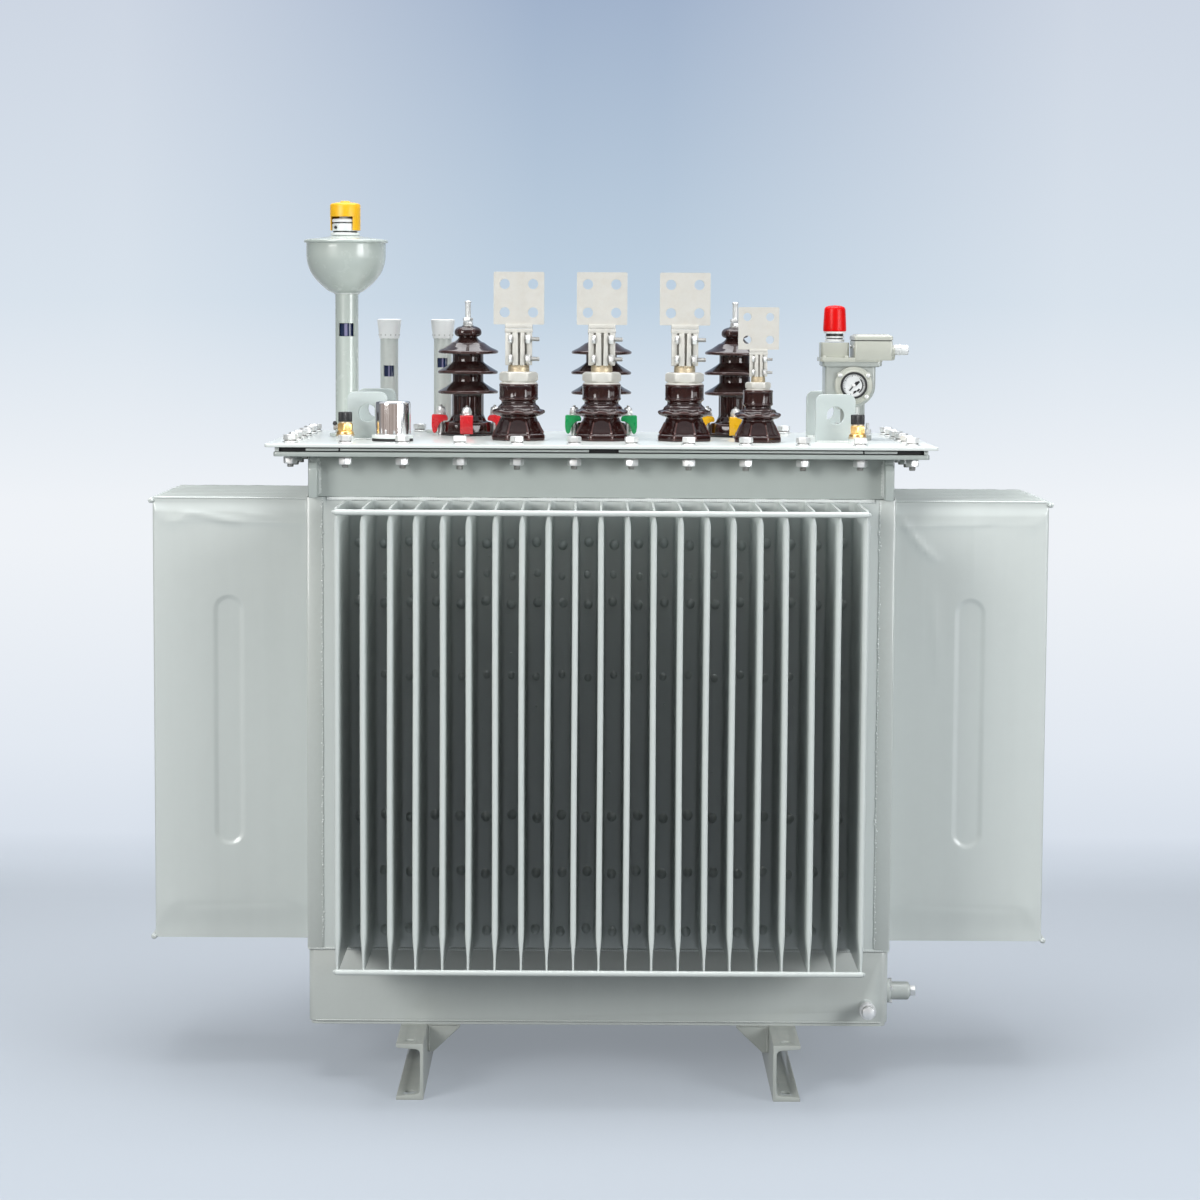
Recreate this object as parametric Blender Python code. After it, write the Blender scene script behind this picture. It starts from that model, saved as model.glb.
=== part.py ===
"""Oil-filled distribution transformer with corrugated cooling walls.

Life size, in metres, +Z up. The viewer of the front stands at -Y, and +X is to the viewer's right.
The origin lies on the floor under the middle of the tank.
"""
import math

import bmesh
import bpy

# Base channels, which run from front to back under the tank
CHANNEL_HEIGHT = 0.100
CHANNEL_FLANGE = 0.048
CHANNEL_WEB = 0.0055
CHANNEL_LIP = 0.0085
CHANNEL_GAUGE = 0.660
CHANNEL_LENGTH = 0.794
CHANNEL_HOLE_RADIUS = 0.009
CHANNEL_HOLE_INSET = 0.028
GUSSET_WIDTH = 0.058
GUSSET_DROP = 0.050
GUSSET_NOSE = 0.010
GUSSET_THICKNESS = 0.008
GUSSET_INSET = 0.004

# Tank
TANK_LENGTH = 1.038
TANK_DEPTH = 0.500
TANK_PLATE = 0.006
TANK_CORNER = 0.012
FLOOR_INSET = 0.003
LOWER_BAND_HEIGHT = 0.1315
UPPER_BAND_HEIGHT = 0.0730
POST_WIDTH = 0.0275
POST_PLATE = 0.004
POST_PROUD = 0.0022
EARTH_BOSS_INSET = 0.039
EARTH_BOSS_Z = 0.1375
EARTH_BOSS_RADIUS = 0.011
EARTH_BOSS_LENGTH = 0.028
HOOK_INSET = 0.0125
HOOK_THICKNESS = 0.015
HOOK_REACH = 0.036
HOOK_HEIGHT = 0.062
HOOK_NOSE_HEIGHT = 0.052
HOOK_THROAT = 0.012

# Corrugated walls
FIN_PITCH = 0.045
FIN_THICKNESS = 0.0100
FIN_LIP_THICKNESS = 0.0032
FIN_LIP_HEIGHT = 0.017
FIN_HEIGHT = 0.799
FIN_TOP_TAPER = 0.031
FIN_BOTTOM_TAPER = 0.048
FIN_SHEET = 0.003
FIN_MARGIN = 0.0052
FIN_END_FLAT = 0.030
FRONT_FIN_DEPTH = 0.227
SIDE_FIN_DEPTH = 0.2835
ROD_RADIUS = 0.005
ROD_SIDES = 6
ROD_WELD = 0.0016
ROD_OVERHANG = 0.0035
ROD_TOP_DROP = 0.0035
ROD_BOTTOM_RISE = 0.0010

# Flange, gasket and cover
FLANGE_END_REACH = 0.055
FLANGE_SIDE_REACH = 0.054
FLANGE_THICKNESS = 0.008
GASKET_INSET = 0.006
GASKET_WIDTH = 0.040
GASKET_THICKNESS = 0.008
COVER_OVERHANG = 0.014
COVER_THICKNESS = 0.006
COVER_CORNER = 0.006
LUG_X = 0.422
LUG_Y = 0.120
LUG_WIDTH = 0.072
LUG_HEIGHT = 0.086
LUG_THICKNESS = 0.012
LUG_CORNER = 0.013
LUG_EYE_RADIUS = 0.016
LUG_EYE_HEIGHT = 0.048

# High-voltage bushings
HV_SPACING = 0.250
HV_Y = 0.105
HV_SEAT_RADIUS = 0.072
HV_SEAT_BORE = 0.034
HV_SEAT_THICKNESS = 0.008
HV_BASE_RADIUS = 0.046
HV_BASE_HEIGHT = 0.016
HV_SHOULDER_RADIUS = 0.036
HV_FOOT_HEIGHT = 0.026
HV_TRUNK_RADIUS = 0.030
HV_SHED_RADIUS = 0.058
HV_SHED_RIM = 0.007
HV_SHED_HEIGHT = 0.022
HV_SHED_PITCH = 0.0375
HV_FIRST_SHED_HEIGHT = 0.073
HV_HEAD_RADIUS = 0.020
HV_PORCELAIN_HEIGHT = 0.177
HV_CAP_RADIUS = 0.026
HV_CAP_HEIGHT = 0.023
HV_NUT_RADIUS = 0.0090
HV_NUT_HEIGHT = 0.013
HV_STUD_RADIUS = 0.0050
HV_STUD_HEIGHT = 0.068
CLAMP_COUNT = 4
CLAMP_REACH = 0.067
CLAMP_WIDTH = 0.024
CLAMP_BAR = 0.011
CLAMP_LEG = 0.012
CLAMP_BITE_GAP = 0.0010

# Low-voltage bushings and their flag terminals
LV_SPACING = 0.150
LV_Y = -0.100
LV_BASE_WIDTH = 0.096
LV_BASE_HEIGHT = 0.012
LV_CONE_FOOT_WIDTH = 0.088
LV_CONE_HEIGHT = 0.037
LV_CONE_TOP_RADIUS = 0.034
LV_SHED_RADIUS = 0.0485
LV_SHED_HEIGHT = 0.058
LV_SHED_RIM = 0.006
LV_NECK_RADIUS = 0.030
LV_HEAD_RADIUS = 0.035
LV_HEAD_BOTTOM = 0.069
LV_PORCELAIN_HEIGHT = 0.098
LV_NUT_RADIUS = 0.0325
LV_NUT_HEIGHT = 0.022
LV_STUD_RADIUS = 0.0175
LV_STUD_HEIGHT = 0.034
LV_GRIP_WIDTH = 0.051
LV_GRIP_DEPTH = 0.044
LV_GRIP_HEIGHT = 0.076
LV_GRIP_SLOT = 0.005
LV_FLAG_WIDTH = 0.090
LV_FLAG_HEIGHT = 0.090
LV_FLAG_THICKNESS = 0.012
LV_FLAG_HOLE_RADIUS = 0.009
LV_FLAG_HOLE_SPACING = 0.050
NEUTRAL_X = 0.281
NEUTRAL_Y = -0.140
NEUTRAL_WIDTH_SHARE = 0.87
NEUTRAL_HEIGHT_SHARE = 0.95
NEUTRAL_GRIP_SHARE = 0.66
NEUTRAL_FLAG_SHARE = 0.80

# Fittings on the cover
FILLER_X = -0.470
FILLER_Y = 0.020
FILLER_TUBE_RADIUS = 0.0212
FILLER_TUBE_HEIGHT = 0.2640
FILLER_FOOT_RADIUS = 0.032
FILLER_FOOT_HEIGHT = 0.006
BOWL_RADIUS = 0.0730
BOWL_DOME_HEIGHT = 0.0610
BOWL_SIDE_HEIGHT = 0.0300
BOWL_RIM_RADIUS = 0.0772
BOWL_RIM_HEIGHT = 0.0060
BOWL_LID_RISE = 0.0070
BOWL_LID_TOP_RADIUS = 0.0300
VALVE_BODY_RADIUS = 0.0240
VALVE_BODY_HEIGHT = 0.0085
VALVE_HOOD_RADIUS = 0.0280
VALVE_HOOD_HEIGHT = 0.050
VALVE_BUTTON_RADIUS = 0.0085
VALVE_BUTTON_HEIGHT = 0.005
GAUGE_TUBE_RADIUS = 0.0170
GAUGE_TUBE_HEIGHT = 0.182
GAUGE_CAP_RADIUS = 0.0230
GAUGE_CAP_HEIGHT = 0.034
GAUGE_PLACES = (("outer", -0.401, 0.180), ("inner", -0.303, 0.215))
POT_X = -0.3735
POT_Y = -0.172
POT_RADIUS = 0.0320
POT_HEIGHT = 0.060
POT_FLANGE_RADIUS = 0.0370
POT_FLANGE_HEIGHT = 0.005
POT_GASKET_HEIGHT = 0.006
PLUG_X = 0.4540
PLUG_Y = -0.175
PLUG_BASE_RADIUS = 0.0180
PLUG_BASE_HEIGHT = 0.012
PLUG_BODY_RADIUS = 0.0145
PLUG_BODY_HEIGHT = 0.022
PLUG_CAP_RADIUS = 0.0120
PLUG_CAP_HEIGHT = 0.018
RELAY_X = 0.4515
RELAY_Y = -0.010
RELAY_BODY_WIDTH = 0.097
RELAY_BODY_DEPTH = 0.078
RELAY_BODY_TOP = 0.131
RELAY_DIAL_X = 0.0087
RELAY_DIAL_HEIGHT = 0.1011
RELAY_BOSS_RADIUS = 0.0330
RELAY_BOSS_PROUD = 0.0055
RELAY_TAPER_BOTTOM = 0.052
RELAY_LIP_WIDTH = 0.118
RELAY_LIP_DEPTH = 0.096
RELAY_LIP_HEIGHT = 0.021
RELAY_PIPE_X = 0.0090
RELAY_PIPE_RADIUS = 0.0200
RELAY_FOOT_RADIUS = 0.0360
RELAY_FOOT_HEIGHT = 0.010
RELAY_HEAD_X = -0.0275
RELAY_HEAD_WIDTH = 0.051
RELAY_HEAD_DEPTH = 0.060
RELAY_HEAD_HEIGHT = 0.029
RELAY_BOX_WIDTH = 0.0765
RELAY_BOX_DEPTH = 0.090
RELAY_BOX_HEIGHT = 0.042
RELAY_GLAND_RADIUS = 0.0145
RELAY_GLAND_LENGTH = 0.037
RELAY_NECK_RADIUS = 0.0180
RELAY_NECK_HEIGHT = 0.0175
RELAY_CAP_RADIUS = 0.0213
RELAY_CAP_TOP_RADIUS = 0.0180
RELAY_CAP_HEIGHT = 0.0475
DRAIN_INSET = 0.085
DRAIN_Z = 0.148
DRAIN_FLANGE_RADIUS = 0.0220
DRAIN_FLANGE_LENGTH = 0.014
DRAIN_BODY_RADIUS = 0.0165
DRAIN_BODY_LENGTH = 0.032
DRAIN_PLUG_RADIUS = 0.0100
DRAIN_PLUG_LENGTH = 0.012

# Clearance between touching pieces, cutter overrun, and how finely round pieces are faceted
SEAM = 0.0003
OVERRUN = 0.010
TURNED_SEGMENTS = 16
SMALL_SEGMENTS = 12
SMOOTH_ANGLE = math.radians(32)

# Sizes and heights that follow from the ones above
FLANGE_LENGTH = TANK_LENGTH + 2 * FLANGE_END_REACH
FLANGE_DEPTH = TANK_DEPTH + 2 * FLANGE_SIDE_REACH
GASKET_LENGTH = FLANGE_LENGTH - 2 * GASKET_INSET
GASKET_DEPTH = FLANGE_DEPTH - 2 * GASKET_INSET
COVER_LENGTH = FLANGE_LENGTH + 2 * COVER_OVERHANG
COVER_DEPTH = FLANGE_DEPTH + 2 * COVER_OVERHANG
FLOOR_BOTTOM = CHANNEL_HEIGHT + SEAM
FLOOR_TOP = FLOOR_BOTTOM + TANK_PLATE
LOWER_BAND_BOTTOM = FLOOR_TOP + SEAM
LOWER_BAND_TOP = LOWER_BAND_BOTTOM + LOWER_BAND_HEIGHT
WALL_BOTTOM = LOWER_BAND_TOP + SEAM
WALL_HEIGHT = FIN_HEIGHT + 2 * FIN_MARGIN
UPPER_BAND_BOTTOM = WALL_BOTTOM + WALL_HEIGHT + SEAM
UPPER_BAND_TOP = UPPER_BAND_BOTTOM + UPPER_BAND_HEIGHT
FLANGE_BOTTOM = UPPER_BAND_TOP + SEAM
GASKET_BOTTOM = FLANGE_BOTTOM + FLANGE_THICKNESS + SEAM
COVER_BOTTOM = GASKET_BOTTOM + GASKET_THICKNESS + SEAM
COVER_SEAT = COVER_BOTTOM + COVER_THICKNESS + SEAM


def clear_scene():
    for old in list(bpy.data.objects):
        bpy.data.objects.remove(old, do_unlink=True)


def material(name, colour, roughness, metallic):
    made = bpy.data.materials.get(name)
    if made is None:
        made = bpy.data.materials.new(name)
        made.use_nodes = True
        shader = made.node_tree.nodes["Principled BSDF"]
        shader.inputs["Base Color"].default_value = (*colour, 1.0)
        shader.inputs["Roughness"].default_value = roughness
        shader.inputs["Metallic"].default_value = metallic
    return made


def tank_paint():
    return material("grey_green_paint", (0.52, 0.58, 0.55), 0.42, 0.0)


def cover_paint():
    return material("pale_cover_paint", (0.66, 0.71, 0.69), 0.40, 0.0)


def base_paint():
    return material("base_channel_paint", (0.47, 0.53, 0.50), 0.45, 0.0)


def gasket_rubber():
    return material("black_gasket_rubber", (0.012, 0.012, 0.012), 0.80, 0.0)


def brown_porcelain():
    return material("brown_glazed_porcelain", (0.060, 0.017, 0.014), 0.12, 0.0)


def tinned_metal():
    return material("tinned_copper", (0.76, 0.73, 0.66), 0.32, 0.9)


def plated_steel():
    return material("plated_steel", (0.70, 0.70, 0.69), 0.30, 1.0)


def chrome():
    return material("polished_chrome", (0.86, 0.86, 0.86), 0.07, 1.0)


def brass():
    return material("yellow_brass", (0.78, 0.50, 0.20), 0.30, 1.0)


def red_enamel():
    return material("red_enamel", (0.62, 0.015, 0.030), 0.38, 0.0)


def green_enamel():
    return material("green_enamel", (0.010, 0.280, 0.100), 0.38, 0.0)


def yellow_enamel():
    return material("yellow_enamel", (0.86, 0.42, 0.010), 0.38, 0.0)


def white_plastic():
    return material("white_plastic", (0.80, 0.80, 0.78), 0.45, 0.0)


def yellow_plastic():
    return material("yellow_plastic", (0.88, 0.62, 0.03), 0.42, 0.0)


def red_plastic():
    return material("red_plastic", (0.66, 0.05, 0.07), 0.40, 0.0)


def relay_plastic():
    return material("pale_grey_plastic", (0.68, 0.70, 0.68), 0.42, 0.0)


def finish(mesh, name, look, location=(0.0, 0.0, 0.0), turn=0.0):
    """Close off a bmesh as a named object, with soft shading on its round faces."""
    bmesh.ops.recalc_face_normals(mesh, faces=mesh.faces[:])
    data = bpy.data.meshes.new(name)
    mesh.to_mesh(data)
    mesh.free()
    data.shade_smooth()
    data.set_sharp_from_angle(angle=SMOOTH_ANGLE)
    made = bpy.data.objects.new(name, data)
    made.location = location
    made.rotation_euler = (0.0, 0.0, turn)
    bpy.context.scene.collection.objects.link(made)
    if look is not None:
        data.materials.append(look)
    return made


def as_tool(made, owner):
    """Hide a cutting or joining shape, and let it follow the piece that it works on."""
    made.parent = owner
    made.hide_render = True
    made.display_type = "WIRE"
    return made


def combine(made, tool, operation):
    change = made.modifiers.new(operation.lower(), "BOOLEAN")
    change.operation = operation
    change.solver = "EXACT"
    change.object = tool
    return made


def circle(radius, segments, start=0.0):
    step = 2 * math.pi / segments
    return [(radius * math.cos(start + step * index), radius * math.sin(start + step * index))
            for index in range(segments)]


def add_rings(mesh, rings):
    """Skin a stack of equal point rings, and close it at both ends; a one-point ring is an apex."""
    made = [[mesh.verts.new(point) for point in ring] for ring in rings]
    for lower, upper in zip(made, made[1:]):
        count = max(len(lower), len(upper))
        for index in range(count):
            after = (index + 1) % count
            corners = [lower[index % len(lower)]]
            if len(lower) > 1:
                corners.append(lower[after])
            if len(upper) > 1:
                corners.append(upper[after])
            corners.append(upper[index % len(upper)])
            mesh.faces.new(corners)
    for ring in (made[0], made[-1]):
        if len(ring) > 2:
            mesh.faces.new(ring)


def add_turned(mesh, profile, segments, centre=(0.0, 0.0), start=0.0):
    """Add a body turned about a vertical axis from (radius, height) pairs, bottom to top."""
    rings = []
    for radius, height in profile:
        if radius == 0:
            rings.append([(centre[0], centre[1], height)])
        else:
            rings.append([(centre[0] + x, centre[1] + y, height) for x, y in circle(radius, segments, start)])
    add_rings(mesh, rings)


def turned(name, profile, segments, look, location):
    mesh = bmesh.new()
    add_turned(mesh, profile, segments)
    return finish(mesh, name, look, location)


def add_box(mesh, low, high):
    rings = []
    for height in (low[2], high[2]):
        rings.append([(low[0], low[1], height), (high[0], low[1], height),
                      (high[0], high[1], height), (low[0], high[1], height)])
    add_rings(mesh, rings)


def add_prism(mesh, outline, low, high, axis):
    """Add a prism on an outline; axis is the letter of the direction that it runs along."""
    def place(point, along):
        first, second = point
        if axis == "x":
            return (along, first, second)
        if axis == "y":
            return (first, along, second)
        return (first, second, along)
    add_rings(mesh, [[place(point, along) for point in outline] for along in (low, high)])


def rounded_rectangle(length, depth, corner, steps=3):
    """Outline of a plate with rounded corners, counter-clockwise from the right front corner."""
    points = []
    for quarter, (side, face) in enumerate(((1, -1), (1, 1), (-1, 1), (-1, -1))):
        centre = (side * (length / 2 - corner), face * (depth / 2 - corner))
        for step in range(steps + 1):
            angle = math.pi / 2 * (quarter - 1 + step / steps)
            points.append((centre[0] + corner * math.cos(angle), centre[1] + corner * math.sin(angle)))
    return points


def plate(name, length, depth, low, high, corner, look):
    mesh = bmesh.new()
    add_prism(mesh, rounded_rectangle(length, depth, corner), low, high, "z")
    return finish(mesh, name, look)


def frame_ring(mesh, length, depth, width, low, high, corner):
    """Rectangular ring of one wall width, with its outer and inner corners rounded."""
    outer = rounded_rectangle(length, depth, corner)
    inner = rounded_rectangle(length - 2 * width, depth - 2 * width, max(corner - width, corner / 3))
    loops = []
    for outline, height in ((outer, low), (outer, high), (inner, high), (inner, low)):
        loops.append([mesh.verts.new((x, y, height)) for x, y in outline])
    count = len(outer)
    for first, second in zip(loops, loops[1:] + loops[:1]):
        for index in range(count):
            after = (index + 1) % count
            mesh.faces.new((first[index], first[after], second[after], second[index]))


def base_channel(side_name, side):
    """C-channel with its web inward and its flanges outward, and a gusset at each end of the tank."""
    web_x = side * (CHANNEL_GAUGE / 2 - CHANNEL_FLANGE / 2)
    toe_x = web_x + side * CHANNEL_FLANGE
    back_x = web_x + side * CHANNEL_WEB
    outline = [(web_x, 0), (toe_x, 0), (toe_x, CHANNEL_LIP), (back_x, CHANNEL_LIP),
               (back_x, CHANNEL_HEIGHT - CHANNEL_LIP), (toe_x, CHANNEL_HEIGHT - CHANNEL_LIP),
               (toe_x, CHANNEL_HEIGHT), (web_x, CHANNEL_HEIGHT)]
    mesh = bmesh.new()
    add_prism(mesh, outline, -CHANNEL_LENGTH / 2, CHANNEL_LENGTH / 2, "y")
    channel = finish(mesh, "base_channel_" + side_name, base_paint())
    cut = bmesh.new()
    hole_x = side * CHANNEL_GAUGE / 2
    hole_y = CHANNEL_LENGTH / 2 - CHANNEL_HOLE_INSET
    for end in (-1, 1):
        add_turned(cut, [(CHANNEL_HOLE_RADIUS, -OVERRUN), (CHANNEL_HOLE_RADIUS, CHANNEL_HEIGHT + OVERRUN)],
                   SMALL_SEGMENTS, (hole_x, end * hole_y))
    holes = as_tool(finish(cut, "channel_hole_cutter_" + side_name, None), channel)
    combine(channel, holes, "DIFFERENCE")
    inner = -side
    weld_x = web_x + side * CHANNEL_WEB / 2
    gusset = [(weld_x, CHANNEL_HEIGHT), (web_x + inner * GUSSET_WIDTH, CHANNEL_HEIGHT),
              (web_x + inner * GUSSET_NOSE, CHANNEL_HEIGHT - GUSSET_DROP),
              (weld_x, CHANNEL_HEIGHT - GUSSET_DROP)]
    weld = bmesh.new()
    for end in (-1, 1):
        outer_y = end * (TANK_DEPTH / 2 - GUSSET_INSET)
        inner_y = outer_y - end * GUSSET_THICKNESS
        add_prism(weld, gusset, min(outer_y, inner_y), max(outer_y, inner_y), "y")
    gussets = as_tool(finish(weld, "channel_gussets_" + side_name, None), channel)
    combine(channel, gussets, "UNION")


def tank_floor():
    plate("tank_floor", TANK_LENGTH - 2 * FLOOR_INSET, TANK_DEPTH - 2 * FLOOR_INSET,
          FLOOR_BOTTOM, FLOOR_TOP, TANK_CORNER, base_paint())


def tank_lower_band():
    """Plate band round the foot of the tank, with the earthing boss at its right front corner."""
    mesh = bmesh.new()
    frame_ring(mesh, TANK_LENGTH, TANK_DEPTH, TANK_PLATE, LOWER_BAND_BOTTOM, LOWER_BAND_TOP, TANK_CORNER)
    band = finish(mesh, "tank_lower_band", tank_paint())
    boss = bmesh.new()
    middle = TANK_LENGTH / 2 - EARTH_BOSS_INSET
    outline = [(middle + x, EARTH_BOSS_Z + z) for x, z in circle(EARTH_BOSS_RADIUS, SMALL_SEGMENTS)]
    face = -TANK_DEPTH / 2
    add_prism(boss, outline, face - EARTH_BOSS_LENGTH, face + TANK_PLATE / 2, "y")
    combine(band, as_tool(finish(boss, "earth_boss_shape", None), band), "UNION")


def hook_outline(face):
    """Side view of a tank lifting hook: a nose that stands out below and a throat under the flange."""
    root = -face + TANK_PLATE / 2
    return [(root, 0), (-face - HOOK_REACH, 0), (-face - HOOK_REACH, HOOK_NOSE_HEIGHT),
            (-face - (HOOK_REACH + HOOK_THROAT) / 2, HOOK_HEIGHT),
            (-face - HOOK_THROAT, HOOK_HEIGHT), (-face - HOOK_THROAT, UPPER_BAND_HEIGHT), (root, UPPER_BAND_HEIGHT)]


def tank_upper_band():
    """Plate band under the flange, with a lifting hook welded on near each corner."""
    mesh = bmesh.new()
    frame_ring(mesh, TANK_LENGTH, TANK_DEPTH, TANK_PLATE, 0, UPPER_BAND_HEIGHT, TANK_CORNER)
    band = finish(mesh, "tank_upper_band", tank_paint(), (0, 0, UPPER_BAND_BOTTOM))
    outline = hook_outline(TANK_DEPTH / 2)
    weld = bmesh.new()
    for side in (-1, 1):
        for end in (-1, 1):
            turned_outline = [(-end * y, z) for y, z in outline]
            middle = side * (TANK_LENGTH / 2 - HOOK_INSET)
            add_prism(weld, turned_outline, middle - HOOK_THICKNESS / 2, middle + HOOK_THICKNESS / 2, "x")
    combine(band, as_tool(finish(weld, "hook_shapes", None), band), "UNION")


def corner_posts():
    """Folded angle at each corner between two corrugated walls."""
    outer_x = TANK_LENGTH / 2 + POST_PROUD
    outer_y = TANK_DEPTH / 2 + POST_PROUD
    width = POST_WIDTH
    fold = POST_PLATE
    outline = [(0, fold), (fold / 4, fold / 4), (fold, 0), (width, 0), (width, fold), (2 * fold, fold),
               (fold * 5 / 4, fold * 5 / 4), (fold, 2 * fold), (fold, width), (0, width)]
    for end_name, end in (("front", -1), ("back", 1)):
        for side_name, side in (("left", -1), ("right", 1)):
            placed = [(side * (outer_x - x), end * (outer_y - y)) for x, y in outline]
            mesh = bmesh.new()
            add_prism(mesh, placed, WALL_BOTTOM, WALL_BOTTOM + WALL_HEIGHT, "z")
            finish(mesh, "corner_post_%s_%s" % (end_name, side_name), tank_paint())


def fin_section(centre, half_thickness, depth):
    """Plan outline of one fin, from its left root round the nose to its right root."""
    nose = half_thickness / 2
    return [(centre - half_thickness, 0), (centre - half_thickness, -depth + half_thickness),
            (centre - nose, -depth), (centre + nose, -depth),
            (centre + half_thickness, -depth + half_thickness), (centre + half_thickness, 0)]


def corrugated_wall(name, length, fin_depth, location, turn):
    """Wall sheet facing -Y with as many pinched fins as fit, and a rod across their tips at both ends."""
    fin_count = int((length - 2 * FIN_END_FLAT - FIN_THICKNESS) / FIN_PITCH) + 1
    full = FIN_THICKNESS / 2
    lip = FIN_LIP_THICKNESS / 2
    low = FIN_MARGIN
    top = FIN_MARGIN + FIN_HEIGHT
    levels = [(low, lip), (low + FIN_LIP_HEIGHT, lip), (low + FIN_LIP_HEIGHT + FIN_BOTTOM_TAPER, full),
              (top - FIN_LIP_HEIGHT - FIN_TOP_TAPER, full), (top - FIN_LIP_HEIGHT, lip), (top, lip)]
    centres = [(index - (fin_count - 1) / 2) * FIN_PITCH for index in range(fin_count)]
    half = length / 2
    mesh = bmesh.new()
    rings = []
    for height, half_thickness in levels:
        outline = [(half, FIN_SHEET), (-half, FIN_SHEET), (-half, 0)]
        for centre in centres:
            outline += fin_section(centre, half_thickness, fin_depth)
        outline.append((half, 0))
        rings.append([mesh.verts.new((x, y, height)) for x, y in outline])
    count = len(rings[0])
    for lower, upper in zip(rings, rings[1:]):
        for index in range(count):
            after = (index + 1) % count
            mesh.faces.new((lower[index], lower[after], upper[after], upper[index]))
    for ring, edge in ((rings[0], 0), (rings[-1], top + FIN_MARGIN)):
        fins = ring[3:-1]
        roots = [ring[2]]
        for index in range(0, len(fins), 6):
            mesh.faces.new(fins[index:index + 6])
            roots += [fins[index], fins[index + 5]]
        roots.append(ring[-1])
        margin = ((half, FIN_SHEET), (-half, FIN_SHEET), (-half, 0), (half, 0))
        end = [mesh.verts.new((x, y, edge)) for x, y in margin]
        mesh.faces.new(roots + [end[3], end[2]])
        mesh.faces.new((ring[0], ring[1], end[1], end[0]))
        mesh.faces.new((ring[1], ring[2], end[2], end[1]))
        mesh.faces.new((ring[-1], ring[0], end[0], end[3]))
        mesh.faces.new(end)
    wall = finish(mesh, name, tank_paint(), location, turn)
    reach = centres[-1] + ROD_OVERHANG
    middle_y = -fin_depth - ROD_RADIUS + ROD_WELD
    rods = bmesh.new()
    for height in (low + ROD_BOTTOM_RISE, top - ROD_TOP_DROP):
        outline = [(middle_y + y, height + z) for y, z in circle(ROD_RADIUS, ROD_SIDES, math.pi / ROD_SIDES)]
        add_prism(rods, outline, -reach, reach, "x")
    combine(wall, as_tool(finish(rods, name + "_rods", None), wall), "UNION")


def corrugated_walls():
    front_length = 2 * (TANK_LENGTH / 2 + POST_PROUD - POST_WIDTH - SEAM)
    side_length = 2 * (TANK_DEPTH / 2 + POST_PROUD - POST_WIDTH - SEAM)
    front_y = TANK_DEPTH / 2
    side_x = TANK_LENGTH / 2
    quarter = math.pi / 2
    corrugated_wall("fin_wall_front", front_length, FRONT_FIN_DEPTH, (0, -front_y, WALL_BOTTOM), 0)
    corrugated_wall("fin_wall_back", front_length, FRONT_FIN_DEPTH, (0, front_y, WALL_BOTTOM), 2 * quarter)
    corrugated_wall("fin_wall_left", side_length, SIDE_FIN_DEPTH, (-side_x, 0, WALL_BOTTOM), -quarter)
    corrugated_wall("fin_wall_right", side_length, SIDE_FIN_DEPTH, (side_x, 0, WALL_BOTTOM), quarter)


def tank_flange():
    mesh = bmesh.new()
    width = FLANGE_END_REACH + TANK_PLATE
    frame_ring(mesh, FLANGE_LENGTH, FLANGE_DEPTH, width, FLANGE_BOTTOM, FLANGE_BOTTOM + FLANGE_THICKNESS,
               COVER_CORNER)
    finish(mesh, "tank_flange", tank_paint())


def cover_gasket():
    mesh = bmesh.new()
    frame_ring(mesh, GASKET_LENGTH, GASKET_DEPTH, GASKET_WIDTH, GASKET_BOTTOM, GASKET_BOTTOM + GASKET_THICKNESS,
               COVER_CORNER)
    finish(mesh, "cover_gasket", gasket_rubber())


def cover_plate():
    plate("cover_plate", COVER_LENGTH, COVER_DEPTH, COVER_BOTTOM, COVER_BOTTOM + COVER_THICKNESS,
          COVER_CORNER, cover_paint())


def lifting_lugs():
    """Four eye plates welded on the cover, rounded at their top corners."""
    half = LUG_WIDTH / 2
    steps = 4
    outline = [(-half, 0), (half, 0)]
    for side in (1, -1):
        for step in range(steps + 1):
            share = step / steps if side > 0 else 1 - step / steps
            angle = math.pi / 2 * share
            outline.append((side * (half - LUG_CORNER + LUG_CORNER * math.cos(angle)),
                            LUG_HEIGHT - LUG_CORNER + LUG_CORNER * math.sin(angle)))
    for end_name, end in (("front", -1), ("back", 1)):
        for side_name, side in (("left", -1), ("right", 1)):
            mesh = bmesh.new()
            add_prism(mesh, outline, -LUG_THICKNESS / 2, LUG_THICKNESS / 2, "y")
            place = (side * LUG_X, end * LUG_Y, COVER_SEAT)
            name = "lifting_lug_%s_%s" % (end_name, side_name)
            lug = finish(mesh, name, cover_paint(), place)
            cut = bmesh.new()
            eye = [(x, LUG_EYE_HEIGHT + z) for x, z in circle(LUG_EYE_RADIUS, TURNED_SEGMENTS)]
            add_prism(cut, eye, -LUG_THICKNESS / 2 - OVERRUN, LUG_THICKNESS / 2 + OVERRUN, "y")
            combine(lug, as_tool(finish(cut, name + "_eye", None), lug), "DIFFERENCE")


def hv_porcelain_profile():
    """Three sheds on a trunk that widens to a clamped foot, from the foot up."""
    profile = [(HV_BASE_RADIUS, 0), (HV_BASE_RADIUS, HV_BASE_HEIGHT), (HV_SHOULDER_RADIUS, HV_BASE_HEIGHT),
               (HV_TRUNK_RADIUS, HV_FOOT_HEIGHT)]
    for index in range(3):
        bottom = HV_FIRST_SHED_HEIGHT + index * HV_SHED_PITCH
        profile += [(HV_TRUNK_RADIUS, bottom), (HV_SHED_RADIUS, bottom), (HV_SHED_RADIUS, bottom + HV_SHED_RIM),
                    (HV_TRUNK_RADIUS, bottom + HV_SHED_HEIGHT)]
    profile += [(HV_HEAD_RADIUS, HV_PORCELAIN_HEIGHT)]
    return profile


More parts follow.
